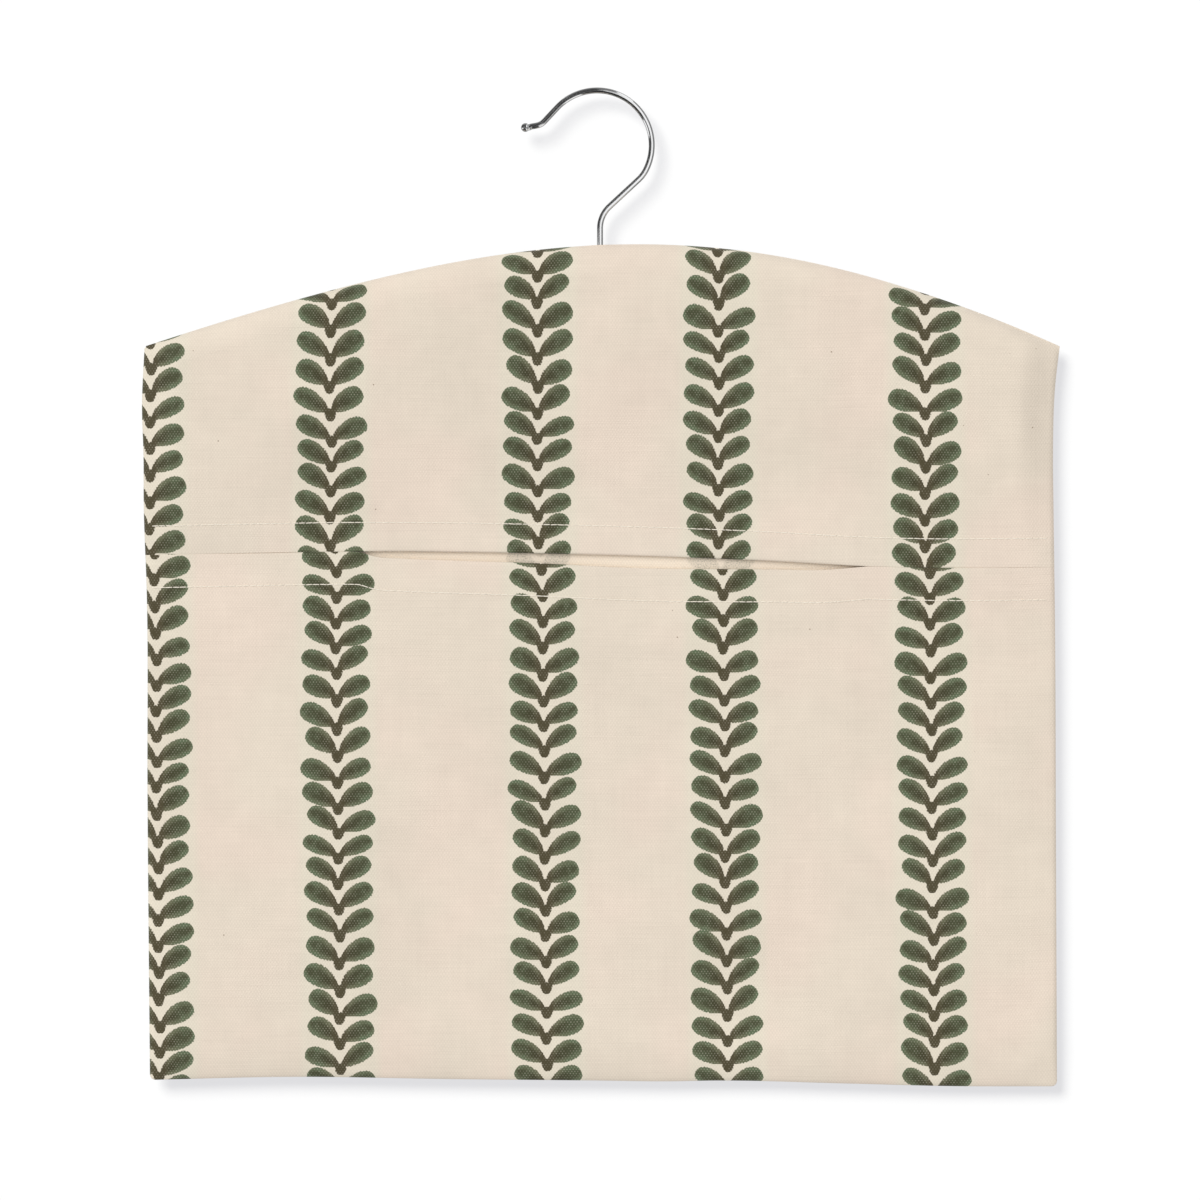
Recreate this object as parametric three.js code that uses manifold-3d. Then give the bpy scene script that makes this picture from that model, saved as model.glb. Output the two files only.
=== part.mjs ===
// Cotton peg bag sewn round a wooden hanger, hung by its wire hook.
// Millimetres, +Z up, front towards -Y. The origin is the inside of the hook's crown, where the line bears.

import * as THREE from 'three';
import { mergeVertices } from 'three/addons/utils/BufferGeometryUtils.js';
import Module from 'manifold-3d';

const wasm = await Module();
wasm.setup();

// Clearance between pieces that touch
const FIT = 0.3;

// Hook
const WIRE = 2.5;
const HOOK_RADIUS = 20.8;
const CROWN_TO_TIP = THREE.MathUtils.degToRad(38);
const CROWN_TO_SHANK = THREE.MathUtils.degToRad(138);
const TIP_RUN = 16.9;
const TIP_BEND = 6;
const TIP_FLAT = 4.1;
const TIP_BALL = 3.5;
const SHANK_BEND = 8;
const SHANK_SHOWN = 13.5;

// Nut and washer that hold the hook in the hanger
const WASHER_RIM = 2;
const WASHER_THICKNESS = 1;
const NUT_WALL = 0.95;
const NUT_THICKNESS = 2;
const THREAD_OUT = 0.8;
const NUT_SUNK = 1;

// Wooden hanger
const HANGER_END_GAP = 2.5;
const HANGER_THICKNESS = 12;
const HANGER_DEPTH_CENTRE = 30;
const HANGER_DEPTH_ARM = 22;
const HANGER_END_ROUND = 9;
const HANGER_END_SWEEP = THREE.MathUtils.degToRad(84);

// Bag outline
const BAG_WIDTH = 365;
const BAG_HEIGHT = 335;
const TOP_RADIUS = 388;
const TOP_ARC_HALF = 118;

// Cloth, seams and hems
const CLOTH = 0.7;
const SEAM_WIDTH = 8;
const TOP_SEAM_DEPTH = 4;
const SEAM_INSET = 0.3;
const SIDE_ROUND = 12;
const BOTTOM_ROUND = 12;
const POCKET_DEPTH = 5;
const HEM_DEPTH = 12.8;
const HEM_LAYERS = 3;
const HEM_STEP = 0.4;
const HEM_END_INSET = 1;

// Mouth between the two front panels
const MOUTH_DROP = 126;
const MOUTH_LENGTH = 198;
const MOUTH_GAP = 5.2;
const MOUTH_END_GAP = 0.6;
const HOOK_HOLE_CLEARANCE = 0.45;
const HOOK_SEAM_GAP = 8;

// Sewing thread
const THREAD = 0.5;
const STITCH_FROM_HEM_EDGE = 1.2;
const STITCH_END_INSET = 4;

// Places worked out from the sizes above
const HALF_WIDTH = BAG_WIDTH / 2;
const CROWN_Z = WIRE / 2 - HOOK_RADIUS;
const SHANK_CORNER_Z = CROWN_Z + HOOK_RADIUS / Math.cos(CROWN_TO_SHANK);
const APEX_Z = SHANK_CORNER_Z - SHANK_SHOWN;
const BOTTOM_Z = APEX_Z - BAG_HEIGHT;
const LIP_Z = APEX_Z - MOUTH_DROP;
const SEAM_HALF = CLOTH;
const RIM_Y = SEAM_HALF + FIT;
const PANEL_DEPTH = HANGER_THICKNESS / 2 + FIT - RIM_Y;
const HANGER_DROP = SEAM_INSET + TOP_SEAM_DEPTH + FIT;
const TOP_ROUND = HANGER_DROP + HANGER_THICKNESS / 2;
const FLAT_HALF = HALF_WIDTH - SIDE_ROUND;
const HEM_HALF = FLAT_HALF - HEM_END_INSET;
const HANGER_HALF = FLAT_HALF - HANGER_END_GAP;
const HOOK_BORE = WIRE + 2 * FIT;
const WASHER_DIAMETER = HOOK_BORE + 2 * WASHER_RIM;
const NUT_FLATS = HOOK_BORE + 2 * NUT_WALL;

const material = (color, roughness, metalness = 0) =>
  new THREE.MeshStandardMaterial({ color, roughness, metalness });
const CHROME = () => material(0xc9ccd0, 0.15, 1);
const ZINC = () => material(0xaab0b4, 0.4, 1);
const BEECH = () => material(0xc79f6b, 0.55);
const COTTON = () => material(0xe5d7c6, 0.9);
const COTTON_REVERSE = () => material(0xded3c3, 0.95);
const SEWING_THREAD = () => material(0xf0e8da, 0.8);

const clamp01 = (value) => Math.min(1, Math.max(0, value));

// Rises from 0 at a seam to 1 where the cloth lies flat
const bulge = (distance, round) => Math.sin((Math.PI / 2) * clamp01(distance / round));

// Height of the bag's top edge: an arc with straight shoulders that leave it at a tangent
function topEdge(x) {
  const run = Math.min(Math.abs(x), TOP_ARC_HALF);
  const arcDrop = TOP_RADIUS - Math.sqrt(TOP_RADIUS ** 2 - run ** 2);
  const slope = TOP_ARC_HALF / Math.sqrt(TOP_RADIUS ** 2 - TOP_ARC_HALF ** 2);
  return APEX_Z - arcDrop - slope * (Math.abs(x) - run);
}

// The lower lip sags away from the straight upper lip
function lowerLip(x) {
  const sag = Math.max(0, 1 - (x / (MOUTH_LENGTH / 2)) ** 2);
  return LIP_Z - MOUTH_END_GAP - (MOUTH_GAP - MOUTH_END_GAP) * sag;
}

// How far each cloth face stands off the seam line
const sideBulge = (x) => bulge(HALF_WIDTH - Math.abs(x), SIDE_ROUND);
const upperDepth = (x, z) => PANEL_DEPTH * sideBulge(x) * bulge(topEdge(x) - z, TOP_ROUND);
const lowerDepth = (x, z) => POCKET_DEPTH * sideBulge(x) * bulge(z - BOTTOM_Z, BOTTOM_ROUND);
const backDepth = (x, z) => upperDepth(x, z) * bulge(z - BOTTOM_Z, BOTTOM_ROUND);

// A closed geometry from points and triangles, turned to face outwards
function closedGeometry(points, triangles) {
  let volume = 0;
  for (const [a, b, c] of triangles) {
    volume += points[a].dot(points[b].clone().cross(points[c]));
  }
  const order = volume < 0 ? ([a, b, c]) => [a, c, b] : (triangle) => triangle;
  const geometry = new THREE.BufferGeometry().setFromPoints(points);
  geometry.setIndex(triangles.flatMap(order));
  geometry.computeVertexNormals();
  return geometry;
}

// Two triangles for each cell between neighbouring rows of points
function strip(rowA, rowB, closed) {
  const triangles = [];
  const count = closed ? rowA.length : rowA.length - 1;
  for (let i = 0; i < count; i += 1) {
    const next = (i + 1) % rowA.length;
    triangles.push([rowA[i], rowA[next], rowB[next]], [rowA[i], rowB[next], rowB[i]]);
  }
  return triangles;
}

// A sheet with a thickness: two faces over the same rows and columns, closed by a rim
function shell(columns, rows, outerFace, innerFace) {
  const points = [];
  const triangles = [];
  const addFace = (face) => rows.map((row) => columns.map((x) => points.push(face(x, row(x))) - 1));
  const outer = addFace(outerFace);
  const inner = addFace(innerFace);
  for (let r = 0; r + 1 < rows.length; r += 1) {
    triangles.push(...strip(outer[r], outer[r + 1], false));
    triangles.push(...strip(inner[r + 1], inner[r], false));
  }
  const edge = (face) => [
    ...face[0],
    ...face.slice(1, -1).map((row) => row.at(-1)),
    ...face.at(-1).toReversed(),
    ...face.slice(1, -1).map((row) => row[0]).toReversed(),
  ];
  triangles.push(...strip(edge(inner), edge(outer), true));
  return closedGeometry(points, triangles);
}

// A solid through a row of closed rings, with a flat cap on the first and the last
function loft(rings) {
  const points = rings.flat();
  const size = rings[0].length;
  const ringIndex = (r) => rings[r].map((_, i) => r * size + i);
  const triangles = [];
  for (let r = 0; r + 1 < rings.length; r += 1) {
    triangles.push(...strip(ringIndex(r), ringIndex(r + 1), true));
  }
  const last = (rings.length - 1) * size;
  for (let i = 1; i + 1 < size; i += 1) {
    triangles.push([0, i + 1, i], [last, last + i, last + i + 1]);
  }
  return closedGeometry(points, triangles);
}

function toManifold(geometry) {
  const plain = geometry.clone();
  plain.deleteAttribute('normal');
  plain.deleteAttribute('uv');
  const merged = mergeVertices(plain, 1e-4);
  return new wasm.Manifold(new wasm.Mesh({
    numProp: 3,
    vertProperties: new Float32Array(merged.attributes.position.array),
    triVerts: new Uint32Array(merged.index.array),
  }));
}

function fromManifold(manifold) {
  const mesh = manifold.getMesh();
  const geometry = new THREE.BufferGeometry();
  geometry.setAttribute('position', new THREE.BufferAttribute(mesh.vertProperties, 3));
  geometry.setIndex(new THREE.BufferAttribute(mesh.triVerts, 1));
  geometry.computeVertexNormals();
  return geometry;
}

const cut = (geometry, tools) => fromManifold(
  tools.reduce((body, tool) => body.subtract(toManifold(tool)), toManifold(geometry)),
);
const join = (a, b) => fromManifold(toManifold(a).add(toManifold(b)));

// An upright cylinder between two heights on the hook's axis
function upright(diameter, bottom, top) {
  const geometry = new THREE.CylinderGeometry(diameter / 2, diameter / 2, top - bottom, BORE_SIDES);
  geometry.rotateX(Math.PI / 2);
  geometry.translate(0, 0, (top + bottom) / 2);
  return geometry;
}

// A ring cut from an outline with a round bore, lying flat with its top at a given height
function ring(outline, bore, thickness, top) {
  outline.holes.push(new THREE.Path().absarc(0, 0, bore / 2, 0, Math.PI * 2, true));
  const geometry = new THREE.ExtrudeGeometry(outline, {
    depth: thickness, bevelEnabled: false, curveSegments: BORE_SIDES / 2,
  });
  geometry.translate(0, 0, top - thickness);
  return geometry;
}

// A flat strip of doubled cloth in the seam plane, from its outline in X and Z
function seamStrip(outline) {
  const geometry = new THREE.ExtrudeGeometry(new THREE.Shape(outline), {
    depth: 2 * SEAM_HALF, bevelEnabled: false,
  });
  geometry.rotateX(Math.PI / 2);
  geometry.translate(0, SEAM_HALF, 0);
  return geometry;
}

// Evenly spaced values that include both ends
const span = (from, to, count) =>
  Array.from({ length: count + 1 }, (_, i) => from + ((to - from) * i) / count);

// Facet counts
const WIRE_STEPS = 120;
const WIRE_SIDES = 12;
const BALL_SIDES = 16;
const BORE_SIDES = 24;
const EDGE_STEPS = 9;
const ARM_STEPS = 16;
const END_STEPS = 5;
const PANEL_STEPS = 9;
const SEAM_STEPS = 24;
const THREAD_SIDES = 6;

// Fractions of a rounded edge, closest where the cloth turns most
const ROUND_STEPS = [0, 0.15, 0.35, 0.6, 0.8, 1];

// Columns of a panel from side to side, with the ends of the hem among them
function panelColumns() {
  const right = ROUND_STEPS.map((step) => HALF_WIDTH - SIDE_ROUND * step);
  const hemEnd = [HEM_HALF, HEM_HALF - HEM_STEP];
  const middle = span(0, HEM_HALF - HEM_STEP, PANEL_STEPS).slice(1, -1).toReversed();
  const half = [...right, ...hemEnd, ...middle];
  return [...half.map((x) => -x), 0, ...half.toReversed()];
}

const topRows = ROUND_STEPS.map((step) => (x) => topEdge(x) - TOP_ROUND * step).toReversed();
const bottomRows = ROUND_STEPS.map((step) => () => BOTTOM_Z + BOTTOM_ROUND * step);

// Rows between two edges of a panel
const betweenRows = (low, high, count) => span(0, 1, count).slice(1, -1)
  .map((share) => (x) => low(x) + (high(x) - low(x)) * share);

// Hem cloth is folded in behind the lip, in extra layers that stop short of the side seams
function hemFold(x, fromLip) {
  const across = clamp01((HEM_HALF - Math.abs(x)) / HEM_STEP);
  const down = clamp01((HEM_DEPTH + HEM_STEP - fromLip) / HEM_STEP);
  return (HEM_LAYERS - 1) * CLOTH * across * down;
}

// The centre line of the hook in the plane y = 0, from the tip to the threaded end
function hookPath(endZ) {
  const centre = new THREE.Vector3(0, 0, CROWN_Z);
  const around = (angle, radius) =>
    new THREE.Vector3(Math.sin(angle) * radius, 0, Math.cos(angle) * radius);
  const onCircle = (angle) => around(angle, HOOK_RADIUS).add(centre);
  const tipEdge = onCircle(-CROWN_TO_TIP);
  const tipAlong = new THREE.Vector3(-Math.cos(CROWN_TO_TIP), 0, -Math.sin(CROWN_TO_TIP));
  const tipCorner = tipEdge.clone().addScaledVector(tipAlong, TIP_RUN);
  const tip = tipCorner.clone().add(new THREE.Vector3(-TIP_FLAT, 0, 0));
  const shankEdge = onCircle(CROWN_TO_SHANK);
  const shankCorner = new THREE.Vector3(0, 0, SHANK_CORNER_Z);
  const end = new THREE.Vector3(0, 0, endZ);

  // A corner rounded to a radius, as a curve between two straight lines
  const rounded = (before, corner, after, radius) => {
    const inward = before.clone().sub(corner).normalize();
    const outward = after.clone().sub(corner).normalize();
    const half = inward.angleTo(outward) / 2;
    const setback = radius / Math.tan(half);
    return new THREE.QuadraticBezierCurve3(
      corner.clone().addScaledVector(inward, setback),
      corner,
      corner.clone().addScaledVector(outward, setback),
    );
  };
  const tipBend = rounded(tip, tipCorner, tipEdge, TIP_BEND);
  const shankBend = rounded(shankEdge, shankCorner, end, SHANK_BEND);
  class Crown extends THREE.Curve {
    getPoint(t) {
      return onCircle(THREE.MathUtils.lerp(-CROWN_TO_TIP, CROWN_TO_SHANK, t));
    }
  }
  const path = new THREE.CurvePath();
  path.add(new THREE.LineCurve3(tip, tipBend.v0));
  path.add(tipBend);
  path.add(new THREE.LineCurve3(tipBend.v2, tipEdge));
  path.add(new Crown());
  path.add(new THREE.LineCurve3(shankEdge, shankBend.v0));
  path.add(shankBend);
  path.add(new THREE.LineCurve3(shankBend.v2, end));
  return { path, tip };
}

// Heights of the hook's fastening, counted up from the hanger's lower edge
const hangerTop = (x) => topEdge(x) - HANGER_DROP;
const hangerLow = hangerTop(0) - HANGER_DEPTH_CENTRE;
const threadEndZ = hangerLow + NUT_SUNK;
const nutTop = threadEndZ + THREAD_OUT + NUT_THICKNESS;
const washerTop = nutTop + FIT + WASHER_THICKNESS;
const seatZ = washerTop + FIT;

const part = new THREE.Group();

function addPiece(name, geometry, pieceMaterial) {
  const mesh = new THREE.Mesh(geometry, pieceMaterial);
  mesh.name = name;
  part.add(mesh);
}

// Hook: one length of round wire with a ball at its tip
function hookGeometry() {
  const { path, tip } = hookPath(threadEndZ);
  const section = new THREE.Shape().absarc(0, 0, WIRE / 2, 0, Math.PI * 2);
  const wire = new THREE.ExtrudeGeometry(section, {
    extrudePath: path, steps: WIRE_STEPS, curveSegments: WIRE_SIDES / 2, bevelEnabled: false,
  });
  const ball = new THREE.SphereGeometry(TIP_BALL / 2, BALL_SIDES, BALL_SIDES / 2);
  ball.translate(tip.x, tip.y, tip.z);
  return join(wire, ball);
}

// Nut and washer below the hook's seat
function nutGeometry() {
  const corner = NUT_FLATS / 2 / Math.cos(Math.PI / 6);
  const corners = span(0, Math.PI * 2, 6).slice(0, -1)
    .map((angle) => new THREE.Vector2(Math.cos(angle), Math.sin(angle)).multiplyScalar(corner));
  return ring(new THREE.Shape(corners), HOOK_BORE, NUT_THICKNESS, nutTop);
}

function washerGeometry() {
  const outline = new THREE.Shape().absarc(0, 0, WASHER_DIAMETER / 2, 0, Math.PI * 2);
  return ring(outline, HOOK_BORE, WASHER_THICKNESS, washerTop);
}

// Hanger: a bar with rounded edges that follows the bag's top edge, bored for the hook
function hangerRing(x, shrink) {
  const radius = HANGER_THICKNESS / 2;
  const taper = (1 - Math.abs(x) / HANGER_HALF) ** 2;
  const depth = HANGER_DEPTH_ARM + (HANGER_DEPTH_CENTRE - HANGER_DEPTH_ARM) * taper;
  const middle = hangerTop(x) - depth / 2;
  const edge = (from, straight) => span(from, from + Math.PI, EDGE_STEPS).map((angle) => new THREE.Vector3(
    x,
    Math.cos(angle) * radius * shrink,
    middle + (Math.sin(angle) * radius + straight) * shrink,
  ));
  return [...edge(0, depth / 2 - radius), ...edge(Math.PI, radius - depth / 2)];
}

function hangerGeometry() {
  const endStart = HANGER_HALF - HANGER_END_ROUND;
  const arm = span(0, endStart, ARM_STEPS).map((x) => [x, 1]);
  const end = span(0, HANGER_END_SWEEP, END_STEPS).slice(1)
    .map((angle) => [endStart + Math.sin(angle) * HANGER_END_ROUND, Math.cos(angle)]);
  const right = [...arm, ...end];
  const left = right.slice(1).map(([x, shrink]) => [-x, shrink]).toReversed();
  const rings = [...left, ...right].map(([x, shrink]) => hangerRing(x, shrink));
  const bore = upright(HOOK_BORE, BOTTOM_Z, 0);
  const counterbore = upright(WASHER_DIAMETER + 2 * FIT, BOTTOM_Z, seatZ);
  return cut(loft(rings), [bore, counterbore]);
}

// Cloth panels
const columns = panelColumns();
const hookHole = upright(WIRE + 2 * HOOK_HOLE_CLEARANCE, LIP_Z, 0);

function backPanelGeometry() {
  const inner = (x, z) => new THREE.Vector3(x, RIM_Y + backDepth(x, z), z);
  const outer = (x, z) => inner(x, z).add(new THREE.Vector3(0, CLOTH, 0));
  const rows = [...bottomRows, ...betweenRows(bottomRows.at(-1), topRows[0], 5), ...topRows];
  return cut(shell(columns, rows, outer, inner), [hookHole]);
}

function upperPanelGeometry() {
  const face = (x, z, thickness) => new THREE.Vector3(x, -RIM_Y - upperDepth(x, z) - thickness, z);
  const outer = (x, z) => face(x, z, CLOTH);
  const inner = (x, z) => face(x, z, -hemFold(x, z - LIP_Z));
  const hemRows = [0, HEM_DEPTH, HEM_DEPTH + HEM_STEP].map((rise) => () => LIP_Z + rise);
  const rows = [...hemRows, ...betweenRows(hemRows.at(-1), topRows[0], 3), ...topRows];
  return cut(shell(columns, rows, outer, inner), [hookHole]);
}

function lowerPanelGeometry() {
  const face = (x, z, thickness) => new THREE.Vector3(x, -RIM_Y - lowerDepth(x, z) - thickness, z);
  const outer = (x, z) => face(x, z, CLOTH);
  const inner = (x, z) => face(x, z, -hemFold(x, lowerLip(x) - z));
  const hemRows = [HEM_DEPTH + HEM_STEP, HEM_DEPTH, 0].map((drop) => (x) => lowerLip(x) - drop);
  const rows = [...bottomRows, ...betweenRows(bottomRows.at(-1), hemRows[0], 3), ...hemRows];
  return shell(columns, rows, outer, inner);
}

// Seams: the turned-in edges of two panels, sewn together between them
const seamOuter = HALF_WIDTH - SEAM_INSET;
const seamInner = HALF_WIDTH - SEAM_WIDTH;
const seamLow = BOTTOM_Z + SEAM_INSET;

function sideSeamGeometry(side) {
  return seamStrip([
    new THREE.Vector2(side * seamInner, seamLow),
    new THREE.Vector2(side * seamOuter, seamLow),
    new THREE.Vector2(side * seamOuter, topEdge(seamOuter) - SEAM_INSET),
    new THREE.Vector2(side * seamInner, topEdge(seamInner) - SEAM_INSET),
  ]);
}

function bottomSeamGeometry() {
  const end = seamInner - FIT;
  return seamStrip([
    new THREE.Vector2(-end, seamLow),
    new THREE.Vector2(end, seamLow),
    new THREE.Vector2(end, BOTTOM_Z + SEAM_WIDTH),
    new THREE.Vector2(-end, BOTTOM_Z + SEAM_WIDTH),
  ]);
}

function topSeamGeometry(side) {
  const xs = span(HOOK_SEAM_GAP / 2, seamInner - FIT, SEAM_STEPS);
  const upper = xs.map((x) => new THREE.Vector2(side * x, topEdge(x) - SEAM_INSET));
  const lower = xs.map((x) => new THREE.Vector2(side * x, topEdge(x) - SEAM_INSET - TOP_SEAM_DEPTH));
  return seamStrip([...upper, ...lower.toReversed()]);
}

// Hem stitching: one thread along each lip, on the face of the cloth
function stitchGeometry(lip, faceY) {
  const reach = HALF_WIDTH - STITCH_END_INSET;
  const bends = ROUND_STEPS.slice(1).map((step) => HALF_WIDTH - SIDE_ROUND * step)
    .filter((x) => x < reach);
  const half = [reach, ...bends, ...span(0, FLAT_HALF, PANEL_STEPS).slice(1, -1).toReversed()];
  const xs = [...half.map((x) => -x), 0, ...half.toReversed()];
  const rings = xs.map((x) => span(0, 2 * Math.PI, THREAD_SIDES).slice(0, -1).map((angle) => {
    const z = lip(x);
    const y = faceY(x, z) - CLOTH - FIT - THREAD / 2;
    return new THREE.Vector3(x, y + Math.cos(angle) * THREAD / 2, z + Math.sin(angle) * THREAD / 2);
  }));
  return loft(rings);
}

const stitchDrop = HEM_DEPTH - STITCH_FROM_HEM_EDGE;
const upperStitch = () => stitchGeometry(
  () => LIP_Z + stitchDrop, (x, z) => -RIM_Y - upperDepth(x, z),
);
const lowerStitch = () => stitchGeometry(
  (x) => lowerLip(x) - stitchDrop, (x, z) => -RIM_Y - lowerDepth(x, z),
);

addPiece('hook', hookGeometry(), CHROME());
addPiece('hook_nut', nutGeometry(), ZINC());
addPiece('hook_washer', washerGeometry(), ZINC());
addPiece('hanger_bar', hangerGeometry(), BEECH());
addPiece('back_panel', backPanelGeometry(), COTTON());
addPiece('front_upper_panel', upperPanelGeometry(), COTTON());
addPiece('front_lower_panel', lowerPanelGeometry(), COTTON());
addPiece('left_side_seam', sideSeamGeometry(-1), COTTON_REVERSE());
addPiece('right_side_seam', sideSeamGeometry(1), COTTON_REVERSE());
addPiece('bottom_seam', bottomSeamGeometry(), COTTON_REVERSE());
addPiece('top_seam_left', topSeamGeometry(-1), COTTON_REVERSE());
addPiece('top_seam_right', topSeamGeometry(1), COTTON_REVERSE());
addPiece('upper_hem_stitching', upperStitch(), SEWING_THREAD());
addPiece('lower_hem_stitching', lowerStitch(), SEWING_THREAD());

export default part;
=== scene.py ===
import math
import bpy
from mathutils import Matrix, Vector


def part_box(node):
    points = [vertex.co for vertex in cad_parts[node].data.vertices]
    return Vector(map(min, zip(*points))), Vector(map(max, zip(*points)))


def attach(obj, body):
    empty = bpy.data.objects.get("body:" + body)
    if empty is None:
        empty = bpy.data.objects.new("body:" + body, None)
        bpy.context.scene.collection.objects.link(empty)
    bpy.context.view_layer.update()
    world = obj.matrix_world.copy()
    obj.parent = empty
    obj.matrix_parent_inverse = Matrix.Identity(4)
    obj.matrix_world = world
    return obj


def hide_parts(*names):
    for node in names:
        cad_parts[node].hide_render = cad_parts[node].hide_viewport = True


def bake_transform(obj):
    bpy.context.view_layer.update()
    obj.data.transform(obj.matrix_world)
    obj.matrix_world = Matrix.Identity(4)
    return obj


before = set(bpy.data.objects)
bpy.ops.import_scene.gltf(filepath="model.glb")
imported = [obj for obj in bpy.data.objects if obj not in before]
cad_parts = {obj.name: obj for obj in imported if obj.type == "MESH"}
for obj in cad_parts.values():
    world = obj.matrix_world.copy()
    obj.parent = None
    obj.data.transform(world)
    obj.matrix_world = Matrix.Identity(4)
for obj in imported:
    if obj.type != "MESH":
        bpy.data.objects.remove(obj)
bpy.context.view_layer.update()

from types import SimpleNamespace

import bpy
import numpy as np

bl_info = {
    "name": "Peg bag",
    "version": (1, 0, 0),
    "blender": (4, 5, 0),
    "location": "View3D > Sidebar > Peg bag",
    "description": "Dresses the packed peg bag: printed cotton, hems, stitching, wire hook and hanger",
    "category": "Object",
}

# Cloth, sewing and hook are worked out in millimetres, the stage in metres
MM = 0.001


def srgb(red, green, blue):
    """A colour given as shown on screen, as the linear colour that a shader takes."""
    shares = [channel / 255 for channel in (red, green, blue)]
    return tuple(s / 12.92 if s <= 0.04045 else ((s + 0.055) / 1.055) ** 2.4 for s in shares)


def node_box(node):
    """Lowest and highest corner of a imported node, in millimetres."""
    low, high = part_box(node)
    return np.array(low) / MM, np.array(high) / MM


UPPER_LOW, UPPER_HIGH = node_box("front_upper_panel")
HALF_WIDTH = UPPER_HIGH[0]
APEX_Z = UPPER_HIGH[2]
LIP_Z = UPPER_LOW[2]
FACE_DEPTH = -UPPER_LOW[1]
BOTTOM_Z = node_box("front_lower_panel")[0][2]
WIRE_END_Z = node_box("hook")[0][2]


# Sizes and colours that a user would change

def length(name, default_mm, description):
    """A length shown in scene units, with its default given in millimetres."""
    return bpy.props.FloatProperty(
        name=name, description=description, default=default_mm * MM, precision=5, unit="LENGTH")


def colour(name, default, description):
    return bpy.props.FloatVectorProperty(
        name=name, description=description, default=default, size=3, min=0, max=1, subtype="COLOR")


def number(name, default, description, **kind):
    return bpy.props.FloatProperty(name=name, description=description, default=default, **kind)


class ClothSizes(bpy.types.PropertyGroup):
    """Sizes of the cloth, its hems and its sewing."""

    thickness: length("Cloth thickness", 0.42, "Thickness of one layer of canvas")
    hem_depth: length("Hem depth", 12.8, "Depth of the folded hem along each lip of the mouth")
    stitch_line: length("Stitch line", 11.6, "Distance of the stitching from the lip")
    lower_extra: length("Lower hem's extra", 1.5, "How much deeper the lower hem is than the upper one")
    stitch_pitch: length("Stitch pitch", 2.8, "Length of one stitch with its gap")
    stitch_length: length("Stitch length", 2.7, "Visible length of one stitch")
    thread: length("Thread", 0.42, "Thickness of the sewing thread")
    mouth_gap: length("Mouth gap", 4.8, "Greatest height of the gap between the lips")
    allowance: length("Seam allowance", 8.0, "Width of the turned-in edges inside each seam")


class PrintSizes(bpy.types.PropertyGroup):
    """Sizes of the weave and of the printed leaf stripe."""

    warp_pair: length("Warp pair", 1.22, "Width of two neighbouring warp yarns")
    weft_pair: length("Weft pair", 1.83, "Height of two neighbouring weft yarns")
    repeat: length("Stripe repeat", 155.2, "Width after which the pair of stripes repeats")
    stripe_gap: length("Stripe gap", 72.4, "Distance between the two stripes of a pair")
    leaf_pitch: length("Leaf pitch", 10.5, "Height from one pair of leaves to the next")
    leaf_length: length("Leaf length", 15.0, "Length of a leaf")
    leaf_width: length("Leaf width", 7.9, "Width of a leaf")
    bud_radius: length("Bud half width", 2.7, "Half width of the bud between two leaves")


class HookSizes(bpy.types.PropertyGroup):
    """Sizes of the bent wire hook."""

    wire: length("Wire", 2.4, "Thickness of the wire")
    radius: length("Crown radius", 21.95, "Radius of the crown along the middle of the wire")
    crown_side: length("Crown side", -1.2, "How far the crown's middle stands beside the shank")
    tip_run: length("Tip run", 9.3, "Straight run from the crown to the tip's bend")
    tip_flat: length("Tip flat", 6.4, "Nearly level run of the tip")
    tip_bend: length("Tip bend", 5.5, "Radius of the tip's bend")
    tip_ball: length("Tip ball", 3.5, "Thickness of the ball at the tip")
    elbow_bend: length("Elbow bend", 14.0, "Radius of the bend below the crown")
    shank_top: length("Shank top", -48.6, "Height at which the slanted wire meets the shank's line")
    shank_bend: length("Shank bend", 12.0, "Radius of the bend above the shank")


class Finish(bpy.types.PropertyGroup):
    """Colours of the materials."""

    cotton: colour("Cotton", srgb(229, 216, 199), "Unbleached cotton between the stripes")
    cotton_warm: colour("Warm cotton", srgb(233, 216, 200), "Warmer patches of the cotton")
    cotton_stripe: colour("Cotton by the leaves", srgb(227, 219, 200), "Paler cotton beside the leaves")
    reverse: colour("Reverse", srgb(247, 232, 212), "Unprinted side of the cotton")
    ink_dark: colour("Dark ink", srgb(65, 63, 40), "Ink in the middle of a leaf")
    ink_light: colour("Light ink", srgb(106, 107, 82), "Ink towards a leaf's edge")
    ink_green: colour("Green ink", srgb(92, 108, 80), "Ink towards a leaf's tip")
    ink_bud: colour("Brown ink", srgb(79, 72, 50), "Ink of the bud and the foot of each leaf")
    fleck: colour("Fleck", srgb(120, 92, 66), "Specks of cotton seed")
    thread: colour("Thread", srgb(246, 237, 222), "Sewing thread")
    chrome: colour("Chrome", (0.86, 0.865, 0.87), "Plated hook wire")
    zinc: colour("Zinc", (0.55, 0.57, 0.6), "Nut and washer")
    beech: colour("Beech", srgb(206, 168, 120), "Wood of the hanger")
    beech_dark: colour("Beech grain", srgb(168, 124, 78), "Darker grain of the wood")


class StageSettings(bpy.types.PropertyGroup):
    """Camera and light."""

    lens: number("Lens", 250.0, "Focal length", unit="CAMERA")
    view_width: length("View width", 480.0, "Width of the picture at the bag")
    centre_height: length("Centre height", -202.8, "Height of the picture's centre")
    key: number("Key light", 1.25, "Strength of the key light")
    fill: number("Fill light", 0.72, "Strength of the light from all round")
    back: number("Back light", 0.9, "Strength of the light on the back")
    paper: number("Paper light", 30.0, "Strength of the light that only the backdrop takes")
    paper_shadow: number(
        "Paper shadow", 0.3, "Darkness of the shadow on the backdrop", min=0, max=1, subtype="FACTOR")


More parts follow.
